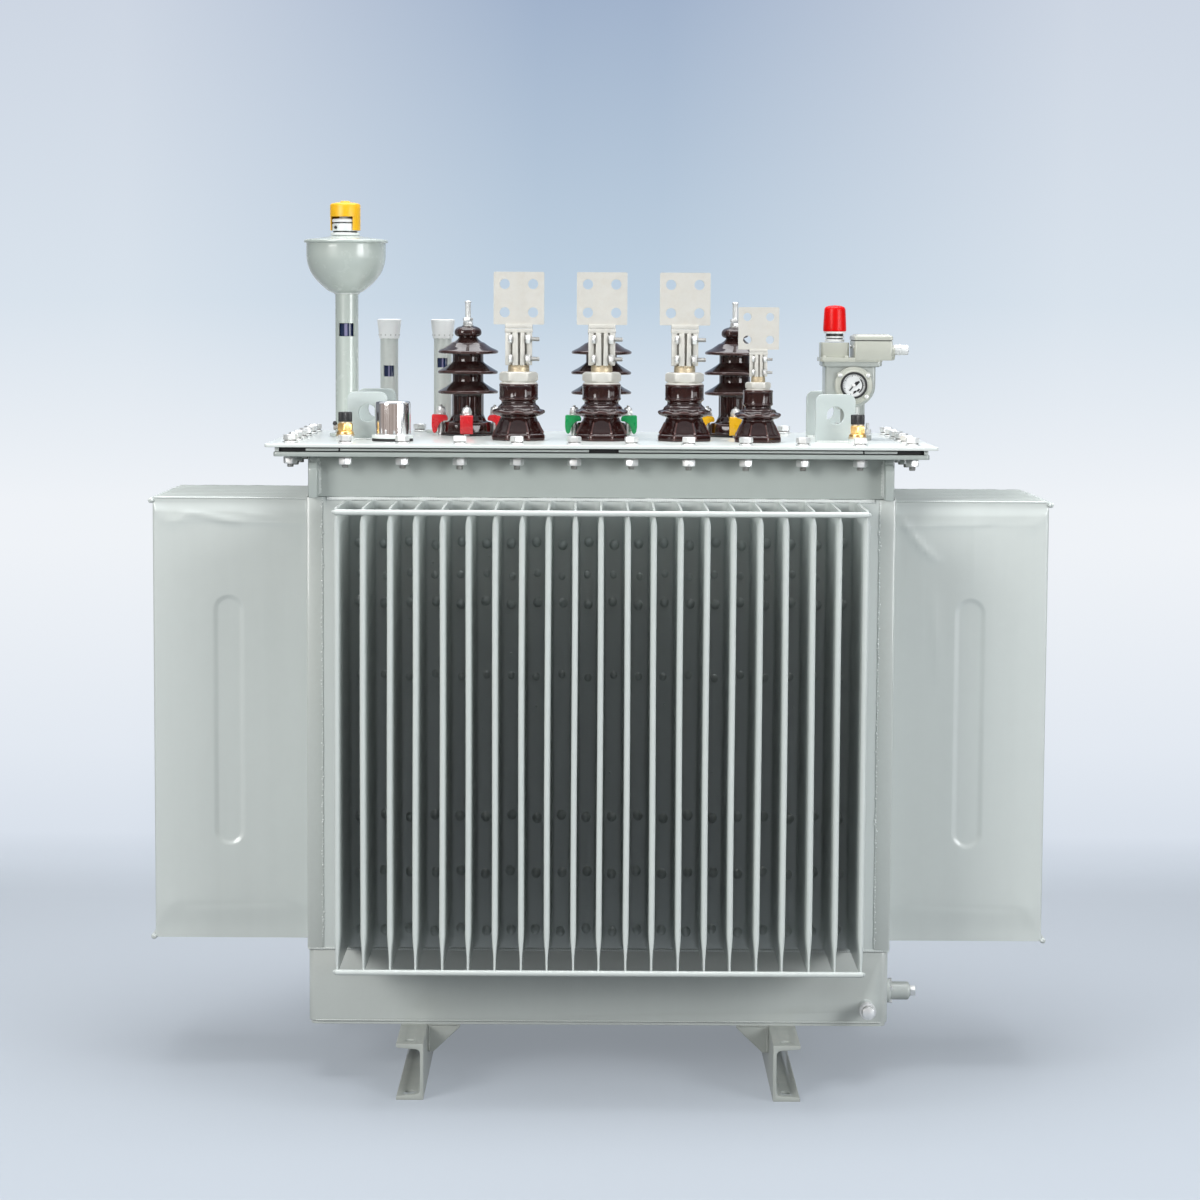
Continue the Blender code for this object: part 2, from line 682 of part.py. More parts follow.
def hv_terminal_profile():
    """Scalloped cap, nut and threaded stud on top of the porcelain."""
    waist = (HV_CAP_RADIUS + HV_HEAD_RADIUS) / 2
    cap = HV_CAP_HEIGHT
    nut = cap + HV_NUT_HEIGHT
    return [(HV_HEAD_RADIUS, 0), (HV_CAP_RADIUS, cap / 4), (HV_CAP_RADIUS, cap / 2), (waist, cap * 3 / 4),
            (HV_NUT_RADIUS, cap), (HV_NUT_RADIUS, nut), (HV_STUD_RADIUS, nut), (HV_STUD_RADIUS, HV_STUD_HEIGHT)]


def hv_clamps(name, look, location):
    """Round seat on the cover with four inverted-L fingers that hold the porcelain's foot down."""
    mesh = bmesh.new()
    outer = circle(HV_SEAT_RADIUS, TURNED_SEGMENTS)
    inner = circle(HV_SEAT_BORE, TURNED_SEGMENTS)
    loops = []
    for outline, height in ((outer, 0), (outer, HV_SEAT_THICKNESS), (inner, HV_SEAT_THICKNESS), (inner, 0)):
        loops.append([mesh.verts.new((x, y, height)) for x, y in outline])
    for first, second in zip(loops, loops[1:] + loops[:1]):
        for index in range(TURNED_SEGMENTS):
            after = (index + 1) % TURNED_SEGMENTS
            mesh.faces.new((first[index], first[after], second[after], second[index]))
    seat = finish(mesh, name, look, location)
    foot = HV_SEAT_THICKNESS / 2
    bar = HV_SEAT_THICKNESS + SEAM + HV_BASE_HEIGHT + SEAM
    bite = HV_SHOULDER_RADIUS + CLAMP_BITE_GAP
    outline = [(CLAMP_REACH, foot), (CLAMP_REACH, bar + CLAMP_BAR), (bite, bar + CLAMP_BAR), (bite, bar),
               (CLAMP_REACH - CLAMP_LEG - CLAMP_LEG / 2, bar),
               (CLAMP_REACH - CLAMP_LEG, bar - CLAMP_LEG / 2), (CLAMP_REACH - CLAMP_LEG, foot)]
    weld = bmesh.new()
    half = CLAMP_WIDTH / 2
    for index in range(CLAMP_COUNT):
        angle = 2 * math.pi * index / CLAMP_COUNT
        along = (math.cos(angle), math.sin(angle))
        across = (-along[1], along[0])
        rings = []
        for side in (-half, half):
            rings.append([(reach * along[0] + side * across[0], reach * along[1] + side * across[1], height)
                          for reach, height in outline])
        add_rings(weld, rings)
    combine(seat, as_tool(finish(weld, name + "_fingers", None), seat), "UNION")


def hv_bushings():
    looks = (("left", -1, red_enamel()), ("middle", 0, green_enamel()), ("right", 1, yellow_enamel()))
    seat_top = COVER_SEAT + HV_SEAT_THICKNESS + SEAM
    for name, place, clamp_look in looks:
        x = place * HV_SPACING
        hv_clamps("hv_clamps_" + name, clamp_look, (x, HV_Y, COVER_SEAT))
        turned("hv_bushing_" + name, hv_porcelain_profile(), TURNED_SEGMENTS, brown_porcelain(), (x, HV_Y, seat_top))
        turned("hv_terminal_" + name, hv_terminal_profile(), SMALL_SEGMENTS, plated_steel(),
               (x, HV_Y, seat_top + HV_PORCELAIN_HEIGHT + SEAM))


def faceted(reach, eight_sided, segments):
    """Circle, or an octagon given by the distance to its flats, drawn with its corners and flat middles."""
    corner = reach / math.cos(math.pi / 8) if eight_sided else reach
    points = []
    for index in range(segments):
        angle = 2 * math.pi * index / segments
        out = corner if index % 2 else reach
        points.append((out * math.cos(angle), out * math.sin(angle)))
    return points


def lv_porcelain(name, wide, tall, location):
    """Eight-sided foot plate and pyramid, one shed, neck and round head, from the cover up."""
    half = LV_BASE_WIDTH / 2
    shed_top = LV_SHED_HEIGHT
    shed_low = shed_top - LV_SHED_RIM
    sections = [(half, True, 0), (half, True, LV_BASE_HEIGHT), (LV_CONE_FOOT_WIDTH / 2, True, LV_BASE_HEIGHT),
                (LV_CONE_TOP_RADIUS, True, LV_CONE_HEIGHT), (LV_CONE_TOP_RADIUS, False, shed_low - LV_SHED_RIM),
                (LV_SHED_RADIUS, False, shed_low), (LV_SHED_RADIUS, False, shed_top - LV_SHED_RIM / 2),
                (LV_NECK_RADIUS, False, LV_HEAD_BOTTOM - LV_SHED_RIM / 2), (LV_NECK_RADIUS, False, LV_HEAD_BOTTOM),
                (LV_HEAD_RADIUS, False, LV_HEAD_BOTTOM),
                (LV_HEAD_RADIUS, False, LV_PORCELAIN_HEIGHT - LV_SHED_RIM / 2),
                (LV_HEAD_RADIUS - LV_SHED_RIM / 2, False, LV_PORCELAIN_HEIGHT)]
    mesh = bmesh.new()
    rings = []
    for reach, eight_sided, height in sections:
        outline = faceted(wide * reach, eight_sided, TURNED_SEGMENTS)
        rings.append([(x, y, tall * height) for x, y in outline])
    add_rings(mesh, rings)
    finish(mesh, name, brown_porcelain(), location)


def lv_terminal(name, size, flag_size, location):
    """Nut and stud under a split grip that carries a four-hole flag plate."""
    nut = size * LV_NUT_HEIGHT
    stud = size * LV_STUD_HEIGHT
    grip_top = stud + size * LV_GRIP_HEIGHT
    mesh = bmesh.new()
    profile = [(size * LV_NUT_RADIUS, 0), (size * LV_NUT_RADIUS, nut * 2 / 3), (size * LV_STUD_RADIUS, nut),
               (size * LV_STUD_RADIUS, stud + size * LV_GRIP_SLOT)]
    add_turned(mesh, profile, SMALL_SEGMENTS)
    terminal = finish(mesh, name, tinned_metal(), location)
    weld = bmesh.new()
    half = size * LV_GRIP_WIDTH / 2
    back = size * LV_GRIP_DEPTH / 2
    edge = half / 3
    slot = size * LV_GRIP_SLOT / 2
    grip = [(slot, -back), (half - edge, -back), (half, -back + edge), (half, back - edge), (half - edge, back),
            (-half + edge, back), (-half, back - edge), (-half, -back + edge), (-half + edge, -back),
            (-slot, -back), (-slot, 0), (slot, 0)]
    add_prism(weld, grip, stud, grip_top, "z")
    combine(terminal, as_tool(finish(weld, name + "_grip", None), terminal), "UNION")
    flag = bmesh.new()
    flag_half = flag_size * LV_FLAG_WIDTH / 2
    flag_low = grip_top - flag_size * LV_FLAG_THICKNESS / 2
    flag_high = grip_top + flag_size * LV_FLAG_HEIGHT
    thick = flag_size * LV_FLAG_THICKNESS / 2
    corner = thick
    outline = [(-flag_half, flag_low), (flag_half, flag_low), (flag_half, flag_high - corner),
               (flag_half - corner, flag_high), (-flag_half + corner, flag_high), (-flag_half, flag_high - corner)]
    add_prism(flag, outline, -thick, thick, "y")
    combine(terminal, as_tool(finish(flag, name + "_flag", None), terminal), "UNION")
    cut = bmesh.new()
    middle = grip_top + flag_size * LV_FLAG_HEIGHT / 2
    offset = flag_size * LV_FLAG_HOLE_SPACING / 2
    for side in (-1, 1):
        for level in (-1, 1):
            outline = [(side * offset + x, middle + level * offset + z)
                       for x, z in circle(flag_size * LV_FLAG_HOLE_RADIUS, SMALL_SEGMENTS)]
            add_prism(cut, outline, -thick - OVERRUN, thick + OVERRUN, "y")
    combine(terminal, as_tool(finish(cut, name + "_holes", None), terminal), "DIFFERENCE")


def lv_bushings():
    full_shares = (1, 1, 1, 1)
    neutral_shares = (NEUTRAL_WIDTH_SHARE, NEUTRAL_HEIGHT_SHARE, NEUTRAL_GRIP_SHARE, NEUTRAL_FLAG_SHARE)
    places = [("1", -LV_SPACING, LV_Y, full_shares), ("2", 0, LV_Y, full_shares), ("3", LV_SPACING, LV_Y, full_shares),
              ("neutral", NEUTRAL_X, NEUTRAL_Y, neutral_shares)]
    for name, x, y, (wide, tall, grip_size, flag_size) in places:
        lv_porcelain("lv_bushing_" + name, wide, tall, (x, y, COVER_SEAT))
        top = COVER_SEAT + tall * LV_PORCELAIN_HEIGHT + SEAM
        lv_terminal("lv_terminal_" + name, grip_size, flag_size, (x, y, top))


def filler_tube():
    """Standpipe under a round-bottomed bowl with a rim and a coned lid."""
    dome_bottom = FILLER_TUBE_HEIGHT
    side_bottom = dome_bottom + BOWL_DOME_HEIGHT
    rim_bottom = side_bottom + BOWL_SIDE_HEIGHT
    profile = [(FILLER_FOOT_RADIUS, 0), (FILLER_FOOT_RADIUS, FILLER_FOOT_HEIGHT),
               (FILLER_TUBE_RADIUS, FILLER_FOOT_HEIGHT)]
    steps = 5
    start = math.asin(FILLER_TUBE_RADIUS / BOWL_RADIUS)
    base = math.cos(start)
    for step in range(steps + 1):
        angle = start + (math.pi / 2 - start) * step / steps
        rise = (base - math.cos(angle)) / base
        profile.append((BOWL_RADIUS * math.sin(angle), dome_bottom + BOWL_DOME_HEIGHT * rise))
    rim_top = rim_bottom + BOWL_RIM_HEIGHT
    profile += [(BOWL_RADIUS, rim_bottom), (BOWL_RIM_RADIUS, rim_bottom), (BOWL_RIM_RADIUS, rim_top),
                (BOWL_LID_TOP_RADIUS, rim_top + BOWL_LID_RISE)]
    turned("filler_tube", profile, TURNED_SEGMENTS, tank_paint(), (FILLER_X, FILLER_Y, COVER_SEAT))


def relief_valve():
    body = VALVE_BODY_HEIGHT
    hood = body + VALVE_HOOD_HEIGHT
    shoulder = VALVE_BUTTON_HEIGHT
    profile = [(VALVE_BODY_RADIUS, 0), (VALVE_BODY_RADIUS, body), (VALVE_HOOD_RADIUS, body),
               (VALVE_HOOD_RADIUS, hood - shoulder), (VALVE_HOOD_RADIUS - shoulder, hood),
               (VALVE_BUTTON_RADIUS, hood), (VALVE_BUTTON_RADIUS, hood + VALVE_BUTTON_HEIGHT)]
    lid_top = FILLER_TUBE_HEIGHT + BOWL_DOME_HEIGHT + BOWL_SIDE_HEIGHT + BOWL_RIM_HEIGHT + BOWL_LID_RISE
    turned("relief_valve", profile, TURNED_SEGMENTS, yellow_plastic(),
           (FILLER_X, FILLER_Y, COVER_SEAT + lid_top + SEAM))


def oil_gauges():
    """Two slim gauge tubes near the cover's back edge, each with a flared cap."""
    for name, x, y in GAUGE_PLACES:
        tube = [(FILLER_FOOT_RADIUS, 0), (FILLER_FOOT_RADIUS, FILLER_FOOT_HEIGHT),
                (GAUGE_TUBE_RADIUS, FILLER_FOOT_HEIGHT), (GAUGE_TUBE_RADIUS, GAUGE_TUBE_HEIGHT)]
        turned("gauge_tube_" + name, tube, SMALL_SEGMENTS, tank_paint(), (x, y, COVER_SEAT))
        collar = GAUGE_CAP_HEIGHT / 3
        cap = [(GAUGE_CAP_RADIUS, 0), (GAUGE_CAP_RADIUS, collar), (GAUGE_TUBE_RADIUS, collar + collar / 2),
               (GAUGE_TUBE_RADIUS, GAUGE_CAP_HEIGHT - collar / 2), (GAUGE_TUBE_RADIUS - collar / 2, GAUGE_CAP_HEIGHT)]
        turned("gauge_cap_" + name, cap, SMALL_SEGMENTS, white_plastic(),
               (x, y, COVER_SEAT + GAUGE_TUBE_HEIGHT + SEAM))


def thermometer_pot():
    flange = POT_GASKET_HEIGHT + POT_FLANGE_HEIGHT
    top = flange + POT_HEIGHT
    shoulder = POT_FLANGE_HEIGHT / 2
    profile = [(POT_FLANGE_RADIUS, 0), (POT_FLANGE_RADIUS, flange), (POT_RADIUS, flange),
               (POT_RADIUS, top - shoulder), (POT_RADIUS - shoulder, top)]
    turned("thermometer_pot", profile, TURNED_SEGMENTS, chrome(), (POT_X, POT_Y, COVER_SEAT))


def vent_plugs():
    for side_name, side in (("left", -1), ("right", 1)):
        body = PLUG_BASE_HEIGHT + PLUG_BODY_HEIGHT
        profile = [(PLUG_BASE_RADIUS, 0), (PLUG_BASE_RADIUS, PLUG_BASE_HEIGHT), (PLUG_BODY_RADIUS, PLUG_BASE_HEIGHT),
                   (PLUG_BODY_RADIUS, body), (PLUG_CAP_RADIUS, body), (PLUG_CAP_RADIUS, body + PLUG_CAP_HEIGHT)]
        turned("vent_plug_" + side_name, profile, SMALL_SEGMENTS, brass(), (side * PLUG_X, PLUG_Y, COVER_SEAT))


def relay_body():
    """Protection relay: pipe foot, chamber rounded about the dial's axis, dial boss, lip and head box."""
    mesh = bmesh.new()
    pipe = [(RELAY_FOOT_RADIUS, 0), (RELAY_FOOT_RADIUS, RELAY_FOOT_HEIGHT), (RELAY_PIPE_RADIUS, RELAY_FOOT_HEIGHT),
            (RELAY_PIPE_RADIUS, RELAY_DIAL_HEIGHT)]
    add_turned(mesh, pipe, SMALL_SEGMENTS, (RELAY_PIPE_X, 0))
    body = finish(mesh, "relay_body", relay_plastic(), (RELAY_X, RELAY_Y, COVER_SEAT))
    chamber = bmesh.new()
    half = RELAY_BODY_WIDTH / 2
    face = RELAY_BODY_DEPTH / 2
    sweep = half - RELAY_DIAL_X
    outline = [(half, RELAY_BODY_TOP), (-half, RELAY_BODY_TOP), (-half, RELAY_DIAL_HEIGHT - RELAY_BOSS_RADIUS),
               (RELAY_PIPE_X - RELAY_PIPE_RADIUS, RELAY_TAPER_BOTTOM)]
    steps = 5
    for step in range(steps):
        angle = math.pi / 2 * (step / steps - 1)
        outline.append((RELAY_DIAL_X + sweep * math.cos(angle), RELAY_DIAL_HEIGHT + sweep * math.sin(angle)))
    outline.append((half, RELAY_DIAL_HEIGHT))
    add_prism(chamber, outline, -face, face, "y")
    combine(body, as_tool(finish(chamber, "relay_chamber", None), body), "UNION")
    boss = bmesh.new()
    outline = [(RELAY_DIAL_X + x, RELAY_DIAL_HEIGHT + z) for x, z in circle(RELAY_BOSS_RADIUS, TURNED_SEGMENTS)]
    add_prism(boss, outline, -face - RELAY_BOSS_PROUD, -face + RELAY_BOSS_PROUD, "y")
    combine(body, as_tool(finish(boss, "relay_dial_boss", None), body), "UNION")
    lip_bottom = RELAY_BODY_TOP - SEAM
    lip_top = lip_bottom + RELAY_LIP_HEIGHT
    lid = bmesh.new()
    outline = rounded_rectangle(RELAY_LIP_WIDTH, RELAY_LIP_DEPTH, RELAY_LIP_HEIGHT / 3, 2)
    add_prism(lid, outline, lip_bottom, lip_top, "z")
    combine(body, as_tool(finish(lid, "relay_lip", None), body), "UNION")
    head = bmesh.new()
    head_low = (RELAY_HEAD_X - RELAY_HEAD_WIDTH / 2, -RELAY_HEAD_DEPTH / 2, lip_top - SEAM)
    head_high = (RELAY_HEAD_X + RELAY_HEAD_WIDTH / 2, RELAY_HEAD_DEPTH / 2, lip_top + RELAY_HEAD_HEIGHT)
    add_box(head, head_low, head_high)
    combine(body, as_tool(finish(head, "relay_head", None), body), "UNION")


def relay_fittings():
    """Terminal box with its gland, and the red cap on a dark neck."""
    lip_top = RELAY_BODY_TOP - SEAM + RELAY_LIP_HEIGHT
    box_left = RELAY_HEAD_X + RELAY_HEAD_WIDTH / 2 + SEAM
    box_right = box_left + RELAY_BOX_WIDTH
    half = RELAY_BOX_DEPTH / 2
    mesh = bmesh.new()
    add_box(mesh, (box_left, -half, lip_top + SEAM), (box_right, half, lip_top + RELAY_BOX_HEIGHT))
    box = finish(mesh, "relay_terminal_box", relay_plastic(), (RELAY_X, RELAY_Y, COVER_SEAT))
    gland = bmesh.new()
    middle = lip_top + RELAY_BOX_HEIGHT / 2
    outline = [(y, middle + z) for y, z in circle(RELAY_GLAND_RADIUS, SMALL_SEGMENTS)]
    add_prism(gland, outline, box_right - RELAY_GLAND_RADIUS, box_right + RELAY_GLAND_LENGTH, "x")
    combine(box, as_tool(finish(gland, "relay_gland", None), box), "UNION")
    neck = RELAY_NECK_HEIGHT
    profile = [(RELAY_NECK_RADIUS, 0), (RELAY_NECK_RADIUS, neck), (RELAY_CAP_RADIUS, neck),
               (RELAY_CAP_TOP_RADIUS, neck + RELAY_CAP_HEIGHT)]
    cap_seat = COVER_SEAT + lip_top + RELAY_HEAD_HEIGHT + SEAM
    turned("relay_cap", profile, TURNED_SEGMENTS, red_plastic(), (RELAY_X + RELAY_HEAD_X, RELAY_Y, cap_seat))


def drain_valve():
    """Short flanged outlet low on the right side, closed by a plug."""
    start = TANK_LENGTH / 2 + SEAM
    flange = start + DRAIN_FLANGE_LENGTH
    body = flange + DRAIN_BODY_LENGTH
    sections = ((DRAIN_FLANGE_RADIUS, start), (DRAIN_FLANGE_RADIUS, flange), (DRAIN_BODY_RADIUS, flange),
                (DRAIN_BODY_RADIUS, body), (DRAIN_PLUG_RADIUS, body), (DRAIN_PLUG_RADIUS, body + DRAIN_PLUG_LENGTH))
    middle = -TANK_DEPTH / 2 + DRAIN_INSET
    mesh = bmesh.new()
    rings = []
    for radius, x in sections:
        rings.append([(x, middle + y, DRAIN_Z + z) for y, z in circle(radius, SMALL_SEGMENTS)])
    add_rings(mesh, rings)
    finish(mesh, "drain_valve", tank_paint())


def build():
    clear_scene()
    base_channel("left", -1)
    base_channel("right", 1)
    tank_floor()
    tank_lower_band()
    corner_posts()
    corrugated_walls()
    tank_upper_band()
    tank_flange()
    cover_gasket()
    cover_plate()
    lifting_lugs()
    hv_bushings()
    lv_bushings()
    filler_tube()
    relief_valve()
    oil_gauges()
    thermometer_pot()
    vent_plugs()
    relay_body()
    relay_fittings()
    drain_valve()


build()
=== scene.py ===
"""Dress of an oil-filled distribution transformer: paint, glaze, bare metal and the small pieces on its solids."""
import math

import bmesh
import bpy
import numpy as np
from mathutils import Matrix, Vector

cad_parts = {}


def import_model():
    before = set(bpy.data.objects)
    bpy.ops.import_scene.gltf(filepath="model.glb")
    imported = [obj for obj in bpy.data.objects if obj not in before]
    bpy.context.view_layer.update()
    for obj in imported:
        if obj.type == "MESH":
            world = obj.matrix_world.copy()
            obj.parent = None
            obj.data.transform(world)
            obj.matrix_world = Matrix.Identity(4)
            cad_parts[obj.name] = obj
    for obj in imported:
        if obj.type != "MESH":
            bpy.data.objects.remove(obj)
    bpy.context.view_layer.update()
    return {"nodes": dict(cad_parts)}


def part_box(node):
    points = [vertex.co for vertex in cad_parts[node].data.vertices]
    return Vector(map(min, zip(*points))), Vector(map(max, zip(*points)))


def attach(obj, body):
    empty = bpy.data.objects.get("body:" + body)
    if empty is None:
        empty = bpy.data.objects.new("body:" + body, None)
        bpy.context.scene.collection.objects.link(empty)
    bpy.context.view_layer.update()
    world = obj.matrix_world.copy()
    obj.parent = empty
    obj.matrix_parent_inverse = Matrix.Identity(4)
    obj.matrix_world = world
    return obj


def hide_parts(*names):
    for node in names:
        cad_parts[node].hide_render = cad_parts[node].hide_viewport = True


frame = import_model()
CHANCE = np.random.default_rng(11)


def low(node):
    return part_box(node)[0]


def high(node):
    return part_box(node)[1]


def foot(node):
    """Middle of a node's underside."""
    base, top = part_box(node)
    return (base.x + top.x) / 2, (base.y + top.y) / 2, base.z


# Sizes read from the solids
COVER_TOP = high("cover_plate").z
FLANGE_LOW = low("tank_flange").z
GASKET_LOW = low("cover_gasket").z
GASKET_TOP = high("cover_gasket").z
SEAT = low("lifting_lug_front_left").z
WALL_LOW = low("fin_wall_front").z
WALL_TOP = high("fin_wall_front").z
BAND_LOW = low("tank_lower_band").z
BAND_TOP = high("tank_lower_band").z
UPPER_LOW = low("tank_upper_band").z
UPPER_TOP = high("tank_upper_band").z
TANK_X = 0.519
TANK_Y = 0.25
POST_WIDTH = 0.0277
POST_PROUD = 0.0022
HOOK_X = 0.5065
HOOK_HALF = 0.0077
LUG_X = 0.422
LUG_Y = 0.12
LUG_HALF = 0.0062
CHANNEL_REACH = 0.048
CHANNEL_HOLE_X = 0.33
CHANNEL_HOLE_END = 0.028
CHANNEL_HOLE_RADIUS = 0.009
CHANNEL_TOP = low("tank_floor").z - 0.0003

# Fins
FIN_PITCH = 0.045
FIN_HALF = 0.005
FIN_LIP_HALF = 0.0018
FIN_LIP = 0.017
FIN_TOP_TAPER = 0.02
FIN_TOP_LIP = 0.009
FACE_TOP_TAPER = 0.034
FIN_LOW_TAPER = 0.052
FIN_MARGIN = 0.0052
FIN_ROOT = 0.0045
FIN_ROOT_FLARE = 0.0105
FRONT_FINS = 21
FRONT_DEPTH = 0.227
SIDE_FINS = 9
SIDE_DEPTH = 0.2835
ROD_RADIUS = 0.005
ROD_OVERHANG = 0.0035
ROD_DROP = 0.0068
ROD_RISE = 0.001
ROD_BITE = 0.0016
PRESS_RADIUS = 0.0235
PRESS_DEPTH = 0.003
PRESS_EDGE = 0.0055
PRESS_LOW = 0.441
PRESS_HIGH = 0.84
PRESS_FRONT = FRONT_DEPTH * 0.52
PRESS_LEFT = 0.148
PRESS_RIGHT = 0.145
DIMPLE_RADIUS = 0.0078
DIMPLE_HEIGHT = 0.0066
DIMPLE_ROWS = ((0.968, 1.0), (0.912, 0.45), (0.862, 0.9), (0.732, 0.5), (0.48, 1.0), (0.379, 1.0), (0.274, 1.0))

# Fasteners of the cover
BOLT_PITCH = 0.1005
BOLT_START = -0.45
BOLT_FRONT = 0.279
SIDE_BOLT_PITCH = 0.1
SIDE_BOLT_START = -0.25
BOLT_SIDE = 0.549
BOLT_ACROSS = 0.0218
BOLT_RADIUS = 0.006


# ------------------------------------------------------------------ shaping
class Blank:
    """Points and faces of a piece while it is being shaped; each face carries the number of its finish."""

    def __init__(self):
        self.points = []
        self.faces = []
        self.finishes = []

    def add(self, shape, finish=0, place=None):
        points, faces = shape
        start = len(self.points)
        if place is not None:
            points = [place @ Vector(point) for point in points]
        self.points.extend(tuple(point) for point in points)
        self.faces.extend(tuple(start + index for index in face) for face in faces)
        self.finishes.extend([finish] * len(faces))
        return self


def polar(reach, angle, height):
    return reach * math.cos(angle), reach * math.sin(angle), height


def quad(level, index, count):
    """Corner numbers of one face between two rows of points."""
    start, after = level * count, (index + 1) % count
    return start + index, start + after, start + count + after, start + count + index


def bridge(first, last, over):
    """Corner numbers of a face that joins an edge to its copy further on."""
    return first, last, last + over, first + over


def skin(rings, around=True, ends=True):
    """Faces over a stack of equal rows of points."""
    count = len(rings[0])
    points = [point for ring in rings for point in ring]
    faces = []
    for level in range(len(rings) - 1):
        for index in range(count if around else count - 1):
            faces.append(quad(level, index, count))
    if ends:
        faces.append(tuple(reversed(range(count))))
        faces.append(tuple(range((len(rings) - 1) * count, len(rings) * count)))
    return points, faces


def lathe(profile, segments=48, form=None, ends=True):
    """Body turned about the vertical axis; form may change the reach and height at each angle."""
    rings = []
    for radius, height in profile:
        ring = []
        for index in range(segments):
            angle = math.tau * index / segments
            reach, level = form(angle, radius, height) if form else (radius, height)
            ring.append(polar(reach, angle, level))
        rings.append(ring)
    return skin(rings, True, ends)


def turned(outline, rounding, segments, steps=3, form=None, ends=True):
    """Turned body whose profile has its corners rounded."""
    return lathe(soften(outline, rounding, steps), segments, form, ends)


def extrude(outline, start, stop, axis="z"):
    """Straight length of an outline along one axis."""
    rings = []
    for along in (start, stop):
        if axis == "x":
            rings.append([(along, a, b) for a, b in outline])
        elif axis == "y":
            rings.append([(a, along, b) for a, b in outline])
        else:
            rings.append([(a, b, along) for a, b in outline])
    return skin(rings)


def soften(outline, radius, steps=3, closed=False):
    """Round the corners of an outline; a third number on a point is that corner's own radius."""
    made = []
    count = len(outline)
    for index, corner in enumerate(outline):
        here = np.array(corner[:2], float)
        own = corner[2] if len(corner) > 2 else radius
        if own == 0 or (not closed and index in (0, count - 1)):
            made.append(tuple(here))
            continue
        back = np.array(outline[index - 1][:2], float) - here
        ahead = np.array(outline[(index + 1) % count][:2], float) - here
        size_back, size_ahead = np.linalg.norm(back), np.linalg.norm(ahead)
        cut = min(own, size_back * 0.49, size_ahead * 0.49)
        first, last = here + back / size_back * cut, here + ahead / size_ahead * cut
        for step in range(steps + 1):
            share = step / steps
            made.append(tuple((1 - share) ** 2 * first + 2 * share * (1 - share) * here + share ** 2 * last))
    return made


def flow(points, steps=4):
    """Smooth line through the given points."""
    held = [np.array(point, float) for point in points]
    held = [2 * held[0] - held[1]] + held + [2 * held[-1] - held[-2]]
    made = []
    for index in range(1, len(held) - 2):
        before, first, last, after = held[index - 1:index + 3]
        for step in range(steps):
            share = step / steps
            made.append(tuple(0.5 * (2 * first + (last - before) * share
                                     + (2 * before - 5 * first + 4 * last - after) * share ** 2
                                     + (3 * first - before - 3 * last + after) * share ** 3)))
    made.append(tuple(points[-1]))
    return made


def rectangle(width, depth, corner, steps=4, centre=(0.0, 0.0)):
    """Outline of a rectangle with rounded corners."""
    half, deep = width / 2, depth / 2
    outline = soften([(-half, -deep), (half, -deep), (half, deep), (-half, deep)], corner, steps, True)
    return [(centre[0] + x, centre[1] + y) for x, y in outline]


def stand(x, y, z):
    return Matrix.Translation((x, y, z))


def swivel(angle):
    return Matrix.Rotation(angle, 4, "Z")


def facing(x, y, z, way):
    """Place whose upward axis points to the front, back, left, right or down."""
    quarter = math.pi / 2
    turns = {"front": (quarter, "X"), "back": (-quarter, "X"), "right": (quarter, "Y"), "left": (-quarter, "Y"),
             "down": (math.pi, "X")}
    angle, axis = turns[way]
    return stand(x, y, z) @ Matrix.Rotation(angle, 4, axis)


def ease(share):
    share = min(max(share, 0.0), 1.0)
    return share * share * (3 - 2 * share)


def hexagon(across):
    """Form that cuts a turned body to six flats."""
    def form(angle, radius, height):
        sector = angle % (math.pi / 3) - math.pi / 6
        return min(across / 2 / math.cos(sector), radius), height
    return form


def nut(across, height, both_ends=True):
    """Hexagon with its corners turned off at the ends."""
    face = across * 0.485
    corner = across * 0.6
    rise = (corner - face) * 0.6
    profile = [(face, 0), (corner, rise)] if both_ends else [(corner, 0)]
    profile += [(corner, height - rise), ((corner + face) / 2, height - rise * 0.42), (face, height)]
    return lathe(profile, 36, hexagon(across))


def washer(radius, height):
    edge = height * 0.25
    return lathe([(radius - edge, 0), (radius, edge), (radius, height - edge), (radius - edge, height)], 32)


def thread(radius, length, pitch=0.00175, segments=20):
    """Screw end with a ridge for each turn and a chamfered tip."""
    depth = radius * 0.11
    profile = [(radius, 0)]
    turns = max(1, int((length - depth) / pitch))
    for turn in range(turns):
        profile += [(radius, pitch * (turn + 0.3)), (radius - depth, pitch * (turn + 0.62)),
                    (radius - depth, pitch * (turn + 0.78))]
    profile += [(radius - depth * 0.3, pitch * turns), (radius - depth * 2, length)]
    return lathe(profile, segments)


def bead(start, stop, out, radius, ripple=0.0042, rough=0.16):
    """Weld bead from start to stop, standing out from the plates along the given direction."""
    start, stop, out = Vector(start), Vector(stop), Vector(out)
    run = stop - start
    along = run.normalized()
    across = along.cross(out)
    steps = max(4, int(run.length / (ripple / 3)))
    rings = []
    drift = 0.0
    for step in range(steps + 1):
        share = step / steps
        drift = 0.9 * drift + 0.1 * float(CHANCE.normal(0, 1.0))
        size = radius * (1 + rough * math.sin(math.tau * run.length * share / ripple) + 0.35 * drift)
        if step in (0, steps):
            size *= 0.35
        middle = start + run * share
        rings.append([middle + across * size * math.cos(angle) + out * size * 0.72 * math.sin(angle)
                      for angle in (-0.35, 0.55, 1.24, 1.9, 2.59, 3.49)])
    return skin(rings, False, False)


def dome(radius, height, rings=6, segments=20):
    """Low round button with a filleted skirt."""
    profile = [(radius * 1.16, 0.0), (radius * 1.02, height * 0.1)]
    for step in range(1, rings + 1):
        angle = math.pi / 2 * step / rings
        profile.append((max(radius * math.cos(angle), 0.00005), height * (0.12 + 0.88 * math.sin(angle))))
    return lathe(profile, segments, ends=True)


